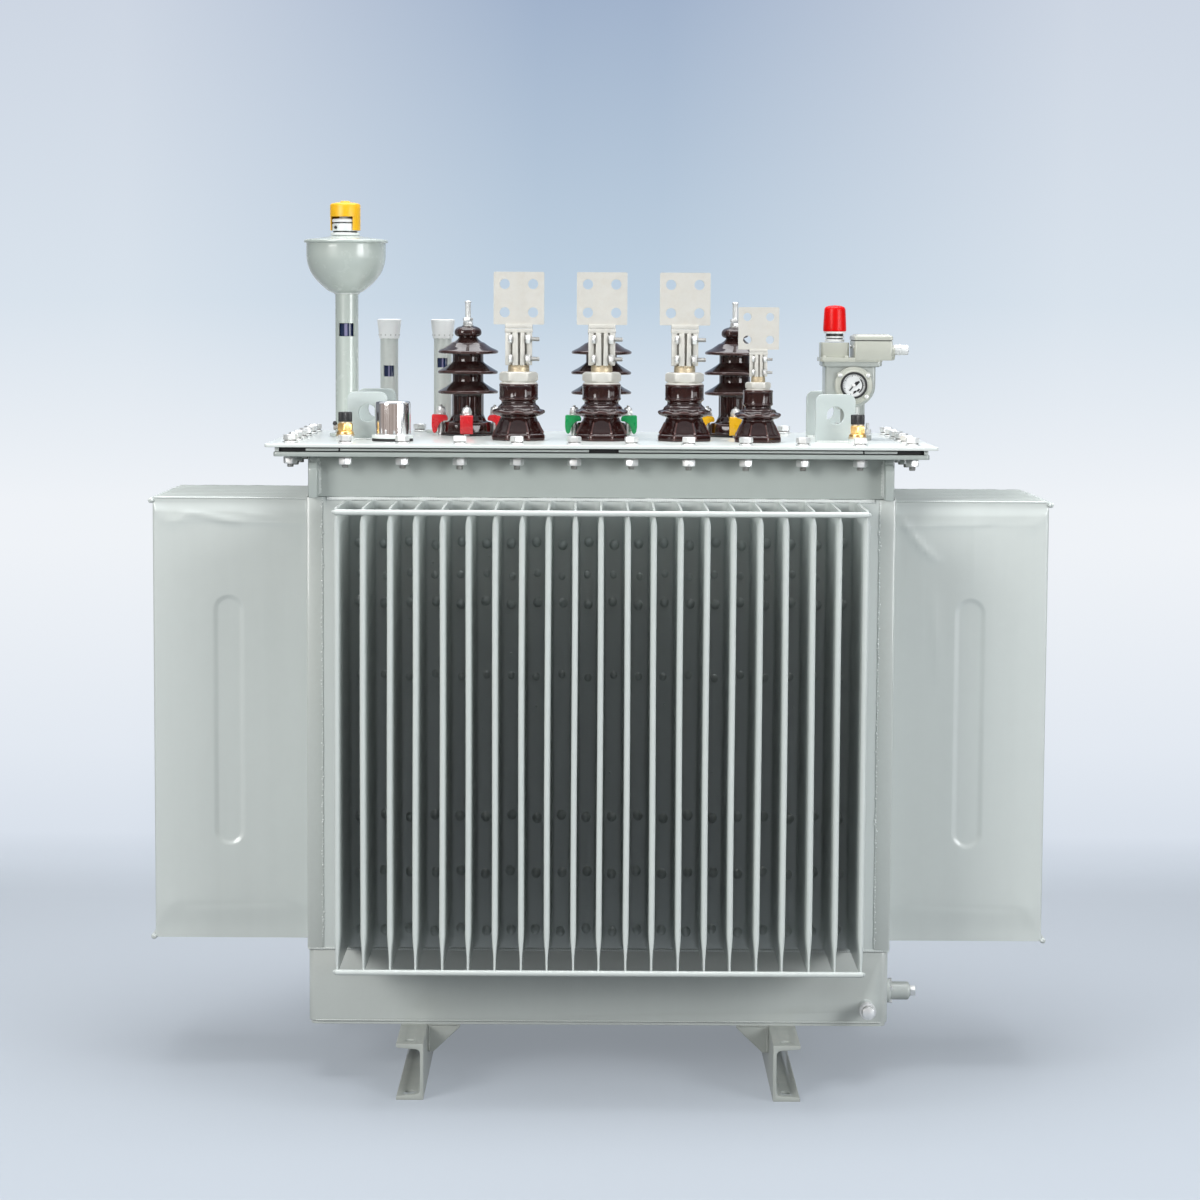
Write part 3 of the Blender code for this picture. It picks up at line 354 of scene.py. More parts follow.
# ------------------------------------------------------------------ shader groups and finishes
def feed(node, values):
    """Link or set the inputs of a node."""
    for key, value in values.items():
        if isinstance(value, bpy.types.NodeSocket):
            node.id_data.links.new(value, node.inputs[key])
        else:
            node.inputs[key].default_value = value


def put(tree, kind, inputs=None, **settings):
    made = tree.nodes.new("ShaderNode" + kind)
    for key, value in settings.items():
        setattr(made, key, value)
    feed(made, inputs or {})
    return made


def calc(tree, operation, first, second=0.0, clamp=False):
    return put(tree, "Math", {0: first, 1: second}, operation=operation, use_clamp=clamp).outputs[0]


def spread(tree, value, low_in, high_in, low_out=0.0, high_out=1.0):
    return put(tree, "MapRange", {"Value": value, "From Min": low_in, "From Max": high_in,
                                  "To Min": low_out, "To Max": high_out}).outputs["Result"]


def blend_colours(tree, share, first, second):
    return put(tree, "Mix", {0: share, 6: first, 7: second}, data_type="RGBA").outputs[2]


def noise(tree, scale, detail=4.0, roughness=0.55, stretch=(1.0, 1.0, 1.0)):
    place = put(tree, "TexCoord").outputs["Object"]
    moved = put(tree, "Mapping", {"Vector": place, "Scale": stretch}).outputs["Vector"]
    return put(tree, "TexNoise", {"Vector": moved, "Scale": scale, "Detail": detail,
                                  "Roughness": roughness}).outputs["Fac"]


def new_group(name, inputs, outputs):
    group = bpy.data.node_groups.new(name, "ShaderNodeTree")
    for label, kind, value in inputs:
        socket = group.interface.new_socket(name=label, in_out="INPUT", socket_type="NodeSocket" + kind)
        socket.default_value = value
    for label, kind in outputs:
        group.interface.new_socket(name=label, in_out="OUTPUT", socket_type="NodeSocket" + kind)
    return group, group.nodes.new("NodeGroupInput"), group.nodes.new("NodeGroupOutput")


def make_shop_wear():
    """Uneven tone, faint runs and settled dust that every finish shares."""
    group, given, result = new_group(
        "shop_wear", [("Colour", "Color", (0.5, 0.5, 0.5, 1)), ("Mottle", "Float", 0.05), ("Runs", "Float", 0.03),
                      ("Dust", "Float", 0.1), ("Dust Colour", "Color", (0.62, 0.6, 0.55, 1)),
                      ("Roughness", "Float", 0.4)],
        [("Colour", "Color"), ("Roughness", "Float"), ("Dust", "Float")])
    broad = noise(group, 2.3, 3.0)
    fine = noise(group, 46.0, 6.0, 0.62)
    runs = noise(group, 1.0, 3.0, 0.5, (34.0, 34.0, 1.6))
    tone = calc(group, "MULTIPLY", calc(group, "SUBTRACT", broad, 0.5), given.outputs["Mottle"])
    tone = calc(group, "ADD", tone, calc(group, "MULTIPLY", calc(group, "SUBTRACT", fine, 0.5),
                                         calc(group, "MULTIPLY", given.outputs["Mottle"], 0.8)))
    tone = calc(group, "ADD", tone, calc(group, "MULTIPLY", calc(group, "SUBTRACT", runs, 0.5), given.outputs["Runs"]))
    value = calc(group, "ADD", tone, 1.0)
    toned = put(group, "HueSaturation", {"Color": given.outputs["Colour"], "Value": value}).outputs["Color"]
    upward = put(group, "SeparateXYZ", {0: put(group, "NewGeometry").outputs["Normal"]}).outputs["Z"]
    settled = calc(group, "MULTIPLY", spread(group, upward, 0.35, 1.0), spread(group, fine, 0.36, 0.66))
    dust = calc(group, "MULTIPLY", settled, given.outputs["Dust"], True)
    colour = blend_colours(group, dust, toned, given.outputs["Dust Colour"])
    group.links.new(colour, result.inputs["Colour"])
    rough = calc(group, "ADD", given.outputs["Roughness"],
                 calc(group, "MULTIPLY", calc(group, "SUBTRACT", fine, 0.5), 0.16))
    rough = calc(group, "ADD", rough, calc(group, "MULTIPLY", dust, 0.35), True)
    group.links.new(rough, result.inputs["Roughness"])
    group.links.new(dust, result.inputs["Dust"])
    return group


def make_surface_relief():
    """Height in millimetres of orange peel, sheet waviness and fine grain."""
    group, given, result = new_group(
        "surface_relief", [("Peel", "Float", 0.01), ("Wave", "Float", 0.0), ("Grain", "Float", 0.0)],
        [("Height", "Float")])
    peel = calc(group, "MULTIPLY", noise(group, 420.0, 2.0, 0.5), given.outputs["Peel"])
    wave = calc(group, "MULTIPLY", noise(group, 7.0, 2.0, 0.4), given.outputs["Wave"])
    grain = calc(group, "MULTIPLY", noise(group, 2100.0, 3.0, 0.6), given.outputs["Grain"])
    group.links.new(calc(group, "ADD", calc(group, "ADD", peel, wave), grain), result.inputs["Height"])
    return group


def make_edge_mask():
    """White on outer edges, black elsewhere, broken up by fine noise."""
    group, given, result = new_group(
        "edge_mask", [("Start", "Float", 0.515), ("Full", "Float", 0.56), ("Breakup", "Float", 0.5)],
        [("Mask", "Float")])
    point = put(group, "NewGeometry").outputs["Pointiness"]
    rim = put(group, "MapRange", {"Value": point, "From Min": given.outputs["Start"],
                                  "From Max": given.outputs["Full"]})
    broken = calc(group, "SUBTRACT", 1.0,
                  calc(group, "MULTIPLY", noise(group, 160.0, 4.0, 0.6), given.outputs["Breakup"]))
    group.links.new(calc(group, "MULTIPLY", rim.outputs["Result"], broken, True), result.inputs["Mask"])
    return group


def make_drawn_grain():
    """Fine lines left by rolling or turning, as a mask and a height in millimetres."""
    group, given, result = new_group(
        "drawn_grain", [("Amount", "Float", 0.01), ("Tarnish", "Float", 0.3)],
        [("Line", "Float"), ("Tarnish", "Float"), ("Height", "Float")])
    line = noise(group, 1.0, 3.0, 0.6, (900.0, 900.0, 60.0))
    stain = spread(group, noise(group, 62.0, 6.0, 0.66), 0.42, 0.68)
    group.links.new(line, result.inputs["Line"])
    group.links.new(calc(group, "MULTIPLY", stain, given.outputs["Tarnish"], True), result.inputs["Tarnish"])
    group.links.new(calc(group, "MULTIPLY", line, given.outputs["Amount"]), result.inputs["Height"])
    return group


SHOP_WEAR = make_shop_wear()
SURFACE_RELIEF = make_surface_relief()
EDGE_MASK = make_edge_mask()
DRAWN_GRAIN = make_drawn_grain()


def finish_tree(name):
    look = bpy.data.materials.new(name)
    look.use_nodes = True
    tree = look.node_tree
    return look, tree, tree.nodes["Principled BSDF"]


def placed_group(tree, group, inputs):
    return put(tree, "Group", inputs, node_tree=group)


def relief_normal(tree, height):
    return put(tree, "Bump", {"Height": height, "Strength": 1.0, "Distance": 0.001}).outputs["Normal"]


def shop_wear(tree, colour, mottle, runs, dust, roughness, **more):
    """Outputs of the shared wear group for a plain or linked colour."""
    if isinstance(colour, tuple):
        colour = (*colour, 1)
    values = {"Colour": colour, "Mottle": mottle, "Runs": runs, "Dust": dust, "Roughness": roughness, **more}
    return placed_group(tree, SHOP_WEAR, values).outputs


def skin_relief(tree, peel, wave, grain):
    relief = placed_group(tree, SURFACE_RELIEF, {"Peel": peel, "Wave": wave, "Grain": grain})
    return relief_normal(tree, relief.outputs["Height"])


def painted(name, colour, roughness=0.36, mottle=0.05, runs=0.03, dust=0.12, peel=0.012, wave=0.0, edge_wear_or_highlight=0.0,
            edge_wear_or_highlight_colour=(0.3, 0.28, 0.25, 1), coat=0.45):
    """Sprayed paint with orange peel and slight waviness; its sharp edges are worn, except on the weld beads, where the
    pale edge is a painted highlight.
    """
    look, tree, shader = finish_tree(name)
    wear = shop_wear(tree, colour, mottle, runs, dust, roughness)
    edge = placed_group(tree, EDGE_MASK, {"Start": 0.53, "Full": 0.6, "Breakup": 1.1})
    # Edge colour: worn paint on most finishes; on the weld beads the pale edge is a painted highlight.
    worn = calc(tree, "MULTIPLY", edge.outputs["Mask"], edge_wear_or_highlight)
    feed(shader, {"Base Color": blend_colours(tree, worn, wear["Colour"], edge_wear_or_highlight_colour), "Roughness": wear["Roughness"],
                  "Normal": skin_relief(tree, peel, wave, 0.0), "Coat Weight": coat, "Coat Roughness": 0.06})
    return look


def glazed(name, colour, thin, thin_share=0.85):
    """Glaze over fired clay, thinner and paler on sharp edges, with long runs down the sides."""
    look, tree, shader = finish_tree(name)
    wear = shop_wear(tree, colour, 0.4, 0.4, 0.07, 0.1, **{"Dust Colour": (0.5, 0.46, 0.43, 1)})
    edge = placed_group(tree, EDGE_MASK, {"Start": 0.512, "Full": 0.565, "Breakup": 0.75})
    share = calc(tree, "MULTIPLY", edge.outputs["Mask"], thin_share)
    feed(shader, {"Base Color": blend_colours(tree, share, wear["Colour"], (*thin, 1)), "Roughness": wear["Roughness"],
                  "Normal": skin_relief(tree, 0.02, 0.35, 0.0), "Coat Weight": 0.35, "Coat Roughness": 0.04,
                  "Specular IOR Level": 0.35})
    return look


def metal(name, colour, roughness, tarnish_colour, tarnish=0.3, grain=0.01, metallic=1.0, dust=0.1):
    """Bare or plated metal with drawn lines and patches of tarnish."""
    look, tree, shader = finish_tree(name)
    lines = placed_group(tree, DRAWN_GRAIN, {"Amount": grain, "Tarnish": tarnish}).outputs
    mixed = blend_colours(tree, lines["Tarnish"], (*colour, 1), (*tarnish_colour, 1))
    wear = shop_wear(tree, mixed, 0.08, 0.05, dust, roughness)
    rough = calc(tree, "ADD", wear["Roughness"], calc(tree, "MULTIPLY", lines["Line"], 0.1))
    rough = calc(tree, "ADD", rough, calc(tree, "MULTIPLY", lines["Tarnish"], 0.18), True)
    feed(shader, {"Base Color": wear["Colour"], "Roughness": rough, "Metallic": metallic,
                  "Normal": relief_normal(tree, lines["Height"])})
    return look


def moulded(name, colour, roughness=0.42, grain=0.01, mottle=0.05, dust=0.12, gloss=0.5):
    """Moulded plastic or rubber with a fine skin."""
    look, tree, shader = finish_tree(name)
    wear = shop_wear(tree, colour, mottle, 0.02, dust, roughness)
    feed(shader, {"Base Color": wear["Colour"], "Roughness": wear["Roughness"],
                  "Normal": skin_relief(tree, 0.006, 0.0, grain), "Specular IOR Level": gloss})
    return look


def gauge_glass(name, colour, roughness):
    """Dark window glass."""
    look, tree, shader = finish_tree(name)
    wear = shop_wear(tree, colour, 0.1, 0.05, 0.05, roughness)
    feed(shader, {"Base Color": wear["Colour"], "Roughness": wear["Roughness"], "IOR": 1.5})
    return look


def enamel(name, colour, worn_colour):
    """Thick bright enamel of the clamps, worn pale on its edges."""
    return painted(name, colour, 0.28, 0.08, 0.0, 0.05, 0.02, 0.0, 0.3, worn_colour)


TANK = painted("grey_green_tank_paint", (0.55, 0.585, 0.562), 0.34, 0.05, 0.05, 0.14, 0.014, 0.25, 0.25)
FIN = painted("grey_green_fin_paint", (0.6, 0.64, 0.622), 0.33, 0.05, 0.05, 0.1, 0.012, 0.35)
# Darker copy of the tank paint for the upper band and flange: painted shade where the cover overhangs them.
BAND_PAINTED_SHADE = painted("band_paint_with_painted_shade", (0.4, 0.44, 0.42), 0.34, 0.05, 0.05, 0.12, 0.014, 0.2)
# Darker copy of the tank paint for the lifting lugs: painted shade that tones down their brightly lit faces.
LUG_PAINTED_SHADE = painted("lug_paint_with_painted_shade", (0.47, 0.525, 0.518), 0.36, 0.05, 0.03, 0.1, 0.014, 0.2)
# Weld bead paint: the tank's green-grey with its ridges painted pale, a painted highlight.
WELD_EDGE_HIGHLIGHT = painted("weld_paint_with_painted_edge_highlight", (0.56, 0.595, 0.575), 0.3, 0.16, 0.02, 0.1, 0.06, 0.0, 0.8, (0.8, 0.82, 0.8, 1))
# Pale copy of the tank paint for the seam beads and spatter: a painted highlight on the beads.
SEAM_WELD_PAINTED_HIGHLIGHT = painted("seam_weld_painted_highlight", (0.74, 0.77, 0.755), 0.28, 0.1, 0.0, 0.05, 0.05)
FILLER = painted("glossy_filler_paint", (0.44, 0.49, 0.458), 0.26, 0.05, 0.04, 0.1, 0.01, 0.35, coat=0.6)
COVER = painted("pale_cover_paint", (0.705, 0.745, 0.725), 0.33, 0.05, 0.03, 0.1, 0.014, 0.2)
BASE = painted("base_channel_paint", (0.4, 0.425, 0.398), 0.4, 0.09, 0.05, 0.22, 0.02, 0.2, 0.3)
RELAY = painted("relay_grey_paint", (0.365, 0.392, 0.37), 0.36, 0.05, 0.02, 0.1, 0.018)
RELAY_HEAD = painted("relay_beige_paint", (0.44, 0.45, 0.395), 0.4, 0.05, 0.02, 0.1, 0.018)
RUBBER = moulded("black_rubber", (0.013, 0.013, 0.014), 0.62, 0.02, 0.2, 0.05)
PORCELAIN = glazed("brown_porcelain_glaze", (0.018, 0.0042, 0.0036), (0.2, 0.09, 0.08))
TINNED = metal("tinned_copper", (0.6, 0.59, 0.55), 0.44, (0.52, 0.485, 0.42), 0.35, 0.012, 0.3, 0.05)
ZINC = metal("zinc_plated_steel", (0.76, 0.77, 0.77), 0.32, (0.58, 0.57, 0.55), 0.35, 0.008, 0.7, 0.05)
DARK_ZINC = metal("dull_zinc", (0.4, 0.4, 0.39), 0.4, (0.22, 0.2, 0.18), 0.5, 0.01, 1.0, 0.1)
CHROME = metal("polished_chrome", (0.88, 0.88, 0.89), 0.045, (0.8, 0.8, 0.8), 0.1, 0.0015, 1.0, 0.02)
BRASS = metal("yellow_brass", (0.86, 0.56, 0.22), 0.24, (0.6, 0.36, 0.13), 0.4, 0.006, 1.0, 0.04)
BRONZE = metal("dull_bronze", (0.62, 0.53, 0.38), 0.4, (0.42, 0.34, 0.22), 0.5, 0.01, 0.9, 0.04)
RED = enamel("red_clamp_enamel", (0.64, 0.006, 0.014), (0.8, 0.3, 0.3, 1))
GREEN = enamel("green_clamp_enamel", (0.002, 0.3, 0.085), (0.3, 0.6, 0.4, 1))
YELLOW = enamel("yellow_clamp_enamel", (0.84, 0.45, 0.004), (0.9, 0.7, 0.3, 1))
WHITE_PLASTIC = moulded("white_plastic", (0.78, 0.79, 0.79), 0.38, 0.004)
YELLOW_PLASTIC = moulded("yellow_plastic", (0.82, 0.44, 0.004), 0.38, 0.004)
RED_PLASTIC = moulded("red_plastic", (0.66, 0.001, 0.001), 0.3, 0.002, 0.06, 0.0, 0.22)
BLACK_PLASTIC = moulded("black_plastic", (0.018, 0.018, 0.02), 0.36, 0.01, 0.1, 0.04)
DIAL_CARD = moulded("dial_card", (0.74, 0.75, 0.75), 0.5, 0.002, 0.02, 0.0)
# Lilac strip behind the sight windows: a painted highlight on the dark glass.
WINDOW_PAINTED_HIGHLIGHT = moulded("lilac_window_painted_highlight", (0.2, 0.19, 0.33), 0.4, 0.002, 0.1, 0.0)
WINDOW = gauge_glass("dark_gauge_glass", (0.01, 0.022, 0.07), 0.06)


# ------------------------------------------------------------------ putting pieces on the part
def linked(name, data):
    made = bpy.data.objects.new(name, data)
    bpy.context.scene.collection.objects.link(made)
    return made


def settle(made):
    """Keep what the modifiers make as the piece's own mesh."""
    ready = made.evaluated_get(bpy.context.evaluated_depsgraph_get())
    data = bpy.data.meshes.new_from_object(ready)
    made.modifiers.clear()
    made.data = data


def fit(blank, name, looks, replaces=(), bevel=0.0, smooth=38, segments=2):
    """Make a piece of the scene from a blank and its finishes."""
    data = bpy.data.meshes.new(name)
    data.from_pydata(blank.points, [], blank.faces)
    for look in looks:
        data.materials.append(look)
    data.polygons.foreach_set("material_index", blank.finishes)
    work = bmesh.new()
    work.from_mesh(data)
    bmesh.ops.recalc_face_normals(work, faces=work.faces[:])
    work.to_mesh(data)
    work.free()
    return place_piece(data, name, replaces, bevel, smooth, segments)


def ease_edges(made, width, segments, limit):
    edge = made.modifiers.new("edge", "BEVEL")
    edge.width = width
    edge.segments = segments
    edge.limit_method = "ANGLE"
    edge.angle_limit = math.radians(limit)
    settle(made)


def smooth_faces(data, smooth):
    """Smooth shading, kept sharp where faces meet at more than the given degrees."""
    data.shade_smooth()
    data.set_sharp_from_angle(angle=math.radians(smooth))


def place_piece(data, name, replaces, bevel, smooth, segments=2):
    """Hang a mesh on the part, and hide the solids that it stands for."""
    made = linked(name, data)
    if bevel:
        ease_edges(made, bevel, segments, 32)
    smooth_faces(made.data, smooth)
    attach(made, "root")
    if replaces:
        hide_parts(*replaces)
    return made


def eased_copy(node, name, look, width, segments=2):
    """The solid's own shape with its sharp edges eased."""
    data = frame["nodes"][node].data.copy()
    data.name = name
    data.materials.clear()
    data.materials.append(look)
    work = bmesh.new()
    work.from_mesh(data)
    bmesh.ops.remove_doubles(work, verts=work.verts[:], dist=0.00001)
    bmesh.ops.dissolve_limit(work, angle_limit=math.radians(0.6), verts=work.verts[:], edges=work.edges[:])
    for face in work.faces:
        face.material_index = 0
    work.to_mesh(data)
    work.free()
    return place_piece(data, name, (node,), width, 38, segments)


# ------------------------------------------------------------------ cooling walls
FIN_LOW = WALL_LOW + FIN_MARGIN
FIN_TOP = WALL_TOP - FIN_MARGIN


def fin_half(height):
    """Half the thickness of a fin at a height."""
    share = min(ease((height - FIN_LOW - FIN_LIP) / FIN_LOW_TAPER),
                ease((FIN_TOP - FIN_TOP_LIP - height) / FIN_TOP_TAPER))
    return FIN_LIP_HALF + (FIN_HALF - FIN_LIP_HALF) * share


def fin_plan(centre, height, depth, reaches, sway, relief=None, side=0):
    """Plan of one fin at a height, from its left root round the nose to its right root."""
    half = fin_half(height)
    pinch = 1 - (half - FIN_LIP_HALF) / (FIN_HALF - FIN_LIP_HALF)
    root = FIN_ROOT + (FIN_ROOT_FLARE - FIN_ROOT) * ease(pinch)
    points = []
    for way in (-1, 1):
        flank = []
        for angle in (0.0, 0.4, 0.8, 1.2, 1.571):
            flank.append((half + root - root * math.sin(angle), root - root * math.cos(angle)))
        for share in (0.33, 0.66, 1.0) if relief and way != side else reaches:
            reach = root + (depth - half - root) * share
            press = relief(reach, height) if relief and way == side else 0.0
            flank.append((half + press, reach))
        for angle in (0.35, 0.75, 1.15):
            flank.append((half * math.cos(angle), depth - half + half * math.sin(angle)))
        if way > 0:
            flank.reverse()
        else:
            flank.append((0.0, depth))
        points += [(centre + way * out + sway * reach / depth, -reach) for out, reach in flank]
    return points


def fin_levels(fine):
    """Heights of the rows of points, closer where the fin is pinched or pressed."""
    levels = [FIN_LOW, FIN_LOW + FIN_LIP * 0.5, FIN_LOW + FIN_LIP]
    steps = 14 if fine else 7
    levels += [FIN_LOW + FIN_LIP + FIN_LOW_TAPER * step / steps for step in range(1, steps + 1)]
    start, stop = levels[-1], FIN_TOP - FIN_TOP_LIP - FIN_TOP_TAPER
    if fine:
        spread_levels = list(np.linspace(start, stop, 44)[1:-1])
        for end in (PRESS_LOW, PRESS_HIGH):
            spread_levels += list(np.linspace(end - 0.04, end + 0.04, 40))
        spread_levels += list(np.linspace(FIN_TOP - 0.15, stop, 24))
        levels += sorted(level for level in spread_levels if start < level < stop)
    else:
        levels += list(np.linspace(start, stop, 9)[1:-1])
    levels += [stop + FIN_TOP_TAPER * step / steps for step in range(steps + 1)]
    levels += [FIN_TOP - FIN_TOP_LIP * 0.5, FIN_TOP]
    return levels


def crease(reach, height, start, stop, width, amount):
    """Ridge along a straight line that dies out at both ends."""
    line = np.array(stop) - np.array(start)
    away = np.array((reach, height)) - np.array(start)
    share = float(away @ line) / float(line @ line)
    if share < -0.3 or share > 1.3:
        return 0.0
    side = abs(line[0] * away[1] - line[1] * away[0]) / math.hypot(*line)
    ends = ease((share + 0.3) / 0.5) * ease((1.3 - share) / 0.5)
    return amount * ends * math.exp(-(side / width) ** 1.5)


def pressed_face(depth, seed, press_place):
    """Relief of an end fin's outer face: the long pressed oblong, puckers below the pinch and oil-canning."""
    top = FIN_TOP - FIN_LIP - FACE_TOP_TAPER
    bottom = FIN_LOW + FIN_LIP + FIN_LOW_TAPER
    lip = FIN_TOP - FIN_LIP
    lines = [((0.01, lip - 0.004), (0.05, lip - 0.052), 0.006, 0.002),
             ((0.05, lip - 0.052), (0.078, lip - 0.072), 0.006, 0.0016),
             ((0.012, lip - 0.012), (0.02, lip - 0.11), 0.009, -0.0012),
             ((0.148, lip - 0.006), (0.15, lip - 0.12), 0.012, 0.0008),
             ((depth - 0.004, lip - 0.002), (depth - 0.04, top - 0.004), 0.006, 0.0018),
             ((depth - 0.06, top + 0.012), (depth - 0.12, top + 0.004), 0.005, -0.001),
             ((0.085, top - 0.12), (0.092, top - 0.32), 0.01, 0.0007),
             ((0.004, bottom - 0.018), (0.055, bottom + 0.02), 0.007, 0.0012),
             ((depth - 0.004, bottom - 0.046), (depth - 0.04, bottom + 0.008), 0.007, 0.0018),
             ((0.06, bottom - 0.004), (depth - 0.06, bottom - 0.01), 0.006, -0.0006),
             ((0.03, lip - 0.029), (depth - 0.05, lip - 0.025), 0.0034, 0.0013)]
    if seed == 1:
        lines[0] = ((0.014, lip - 0.012), (0.052, lip - 0.062), 0.006, 0.003)
        lines[1] = ((0.052, lip - 0.062), (0.08, lip - 0.088), 0.006, 0.0026)
        lines[6] = ((0.078, FIN_TOP - 0.17), (0.089, FIN_TOP - 0.325), 0.0065, 0.0013)
    if seed == 2:
        lines[0] = ((0.05, lip - 0.02), (0.11, lip - 0.014), 0.0045, 0.0021)
        lines[1] = ((0.135, lip - 0.026), (0.215, lip - 0.012), 0.005, 0.0027)
        lines[3] = ((0.215, lip - 0.012), (0.24, lip - 0.03), 0.005, 0.002)

    def relief(reach, height):
        along = min(max(height, PRESS_LOW), PRESS_HIGH)
        edge = math.hypot(reach - press_place, height - along) - PRESS_RADIUS
        press = -PRESS_DEPTH * (1 - ease((edge + PRESS_EDGE) / (2 * PRESS_EDGE)))
        for start, stop, width, amount in lines:
            press += crease(reach, height, start, stop, width, amount)
        inside = ease((height - bottom + 0.03) / 0.1) * ease((top + 0.03 - height) / 0.1) * ease(reach / 0.05)
        swell = math.sin(reach * 19 + seed * 2.1) * math.sin(height * 6.3 + seed) * 0.0008
        return press + inside * swell
    return relief


def cooling_wall(name, length, count, depth, location, turn, press_place):
    """Folded sheet with pressed fins, pinched flat at both ends, and a welded rod across their tips."""
    centres = [(index - (count - 1) / 2) * FIN_PITCH for index in range(count)]
    blank = Blank()
    levels = fin_levels(False)
    swings = [0.0006 * math.sin(index * 2.7 + depth * 40) for index in range(count)]
    rings = []
    inner = centres[1:-1]
    for height in levels:
        row = [(-length / 2, 0.0)]
        for index, centre in enumerate(inner):
            sway = swings[index + 1] + 0.0004 * math.sin(height * 7 + index)
            row += fin_plan(centre, height, depth, (0.33, 0.66, 1.0), sway)
        row.append((length / 2, 0.0))
        rings.append([(x, y, height) for x, y in row])
    points, faces = skin(rings, False, False)
    per_fin = (len(rings[0]) - 2) // len(inner)
    for ring in (0, len(rings) - 1):
        for index in range(len(inner)):
            start = ring * len(rings[0]) + 1 + index * per_fin
            faces.append(tuple(range(start, start + per_fin)))
    blank.add((points, faces))
    levels = fin_levels(True)
    for number, (centre, side) in enumerate(((centres[0], -1), (centres[-1], 1))):
        relief = pressed_face(depth, number + 1, press_place)
        clear = depth - FIN_HALF
        spots = list(np.linspace(0.02, 0.99, 26)) + list((press_place + np.linspace(-0.036, 0.036, 30)) / clear)
        spots += list(np.linspace(0.004, 0.08, 5) / clear) + [1.0]
        reaches = sorted(set(round(float(spot), 4) for spot in spots))
        rings = [[(x, y, height) for x, y in fin_plan(centre, height, depth, reaches, 0.0, relief, side)]
                 for height in levels]
        blank.add(skin(rings, False, True))
        edge = (centre + side * (FIN_LIP_HALF + 0.0004), FIN_TOP - 0.0014)
        blank.add(bead((edge[0], -0.004, edge[1]), (edge[0], 0.002 - depth, edge[1]), (side, 0, 0.3), 0.0019))
    half = length / 2
    for start, stop in ((WALL_LOW, FIN_LOW), (FIN_TOP, WALL_TOP)):
        blank.add(extrude([(-half, 0.0), (half, 0.0), (half, 0.003), (-half, 0.003)], start, stop))
    tip = -depth - ROD_RADIUS + ROD_BITE
    reach = centres[-1] + ROD_OVERHANG
    rod = soften([(0.0001, 0), (ROD_RADIUS, 0), (ROD_RADIUS, 2 * reach), (0.0001, 2 * reach)], 0.0028, 4)
    for height in (FIN_LOW + ROD_RISE, FIN_TOP - ROD_DROP):
        blank.add(lathe(rod, 18), 0, facing(-reach, tip, height, "right"))
        for centre in centres:
            for side in (-1, 1):
                place = stand(centre + side * 0.0036, -depth - 0.0006, height) @ Matrix.Diagonal((1.25, 0.9, 1.0, 1.0))
                ball = [(0.0036 * math.cos(angle), 0.0036 * math.sin(angle)) for angle in np.linspace(-1.5, 1.5, 6)]
                blank.add(lathe(ball, 10), 0, place)
    for index in range(count - 1):
        middle = centres[index] + FIN_PITCH / 2
        for row, (height, size) in enumerate(DIMPLE_ROWS):
            shift = 0.0015 * math.sin(index * 5.1 + row * 2.3)
            place = facing(middle + shift, 0.0002, height + 0.003 * math.sin(index * 3.7 + row), "front")
            blank.add(dome(DIMPLE_RADIUS * (0.6 + 0.4 * size), DIMPLE_HEIGHT * size, 4, 14), 0,
                      place @ Matrix.Diagonal((1.0, 1.12, 1.0, 1.0)))
        for _ in range(int(CHANCE.integers(0, 3))):
            place = facing(middle + float(CHANCE.uniform(-0.008, 0.008)), 0.0, float(CHANCE.uniform(0.55, 0.98)),
                           "front")
            blank.add(dome(float(CHANCE.uniform(0.0012, 0.0022)), 0.0018, 3, 8), 0, place)
    whole = Matrix.Translation(location) @ swivel(turn)
    blank.points = [tuple(whole @ Vector(point)) for point in blank.points]
    fit(blank, name + "_dressed", [FIN], (name,), smooth=50)


def cooling_walls():
    quarter = math.pi / 2
    front = high("fin_wall_front").x - low("fin_wall_front").x
    side = high("fin_wall_left").y - low("fin_wall_left").y
    cooling_wall("fin_wall_front", front, FRONT_FINS, FRONT_DEPTH, (0, -TANK_Y, 0), 0, PRESS_FRONT)
    cooling_wall("fin_wall_back", front, FRONT_FINS, FRONT_DEPTH, (0, TANK_Y, 0), 2 * quarter, PRESS_FRONT)
    cooling_wall("fin_wall_left", side, SIDE_FINS, SIDE_DEPTH, (-TANK_X, 0, 0), -quarter, PRESS_LEFT)
    cooling_wall("fin_wall_right", side, SIDE_FINS, SIDE_DEPTH, (TANK_X, 0, 0), quarter, PRESS_RIGHT)


# ------------------------------------------------------------------ tank, base and cover
def channel_section():
    """Half-way round a rolled channel: web at zero, flanges reaching outward, rounded toes and web corners."""
    reach, height = CHANNEL_REACH, CHANNEL_TOP
    return soften([(0.0, 0.0, 0.0025), (reach, 0.0, 0.001), (reach, 0.007, 0.004), (0.006, 0.0102, 0.0085),
                   (0.006, height - 0.0102, 0.0085), (reach, height - 0.007, 0.004), (reach, height, 0.001),
                   (0.0, height, 0.0025)], 0.002, 4, True)


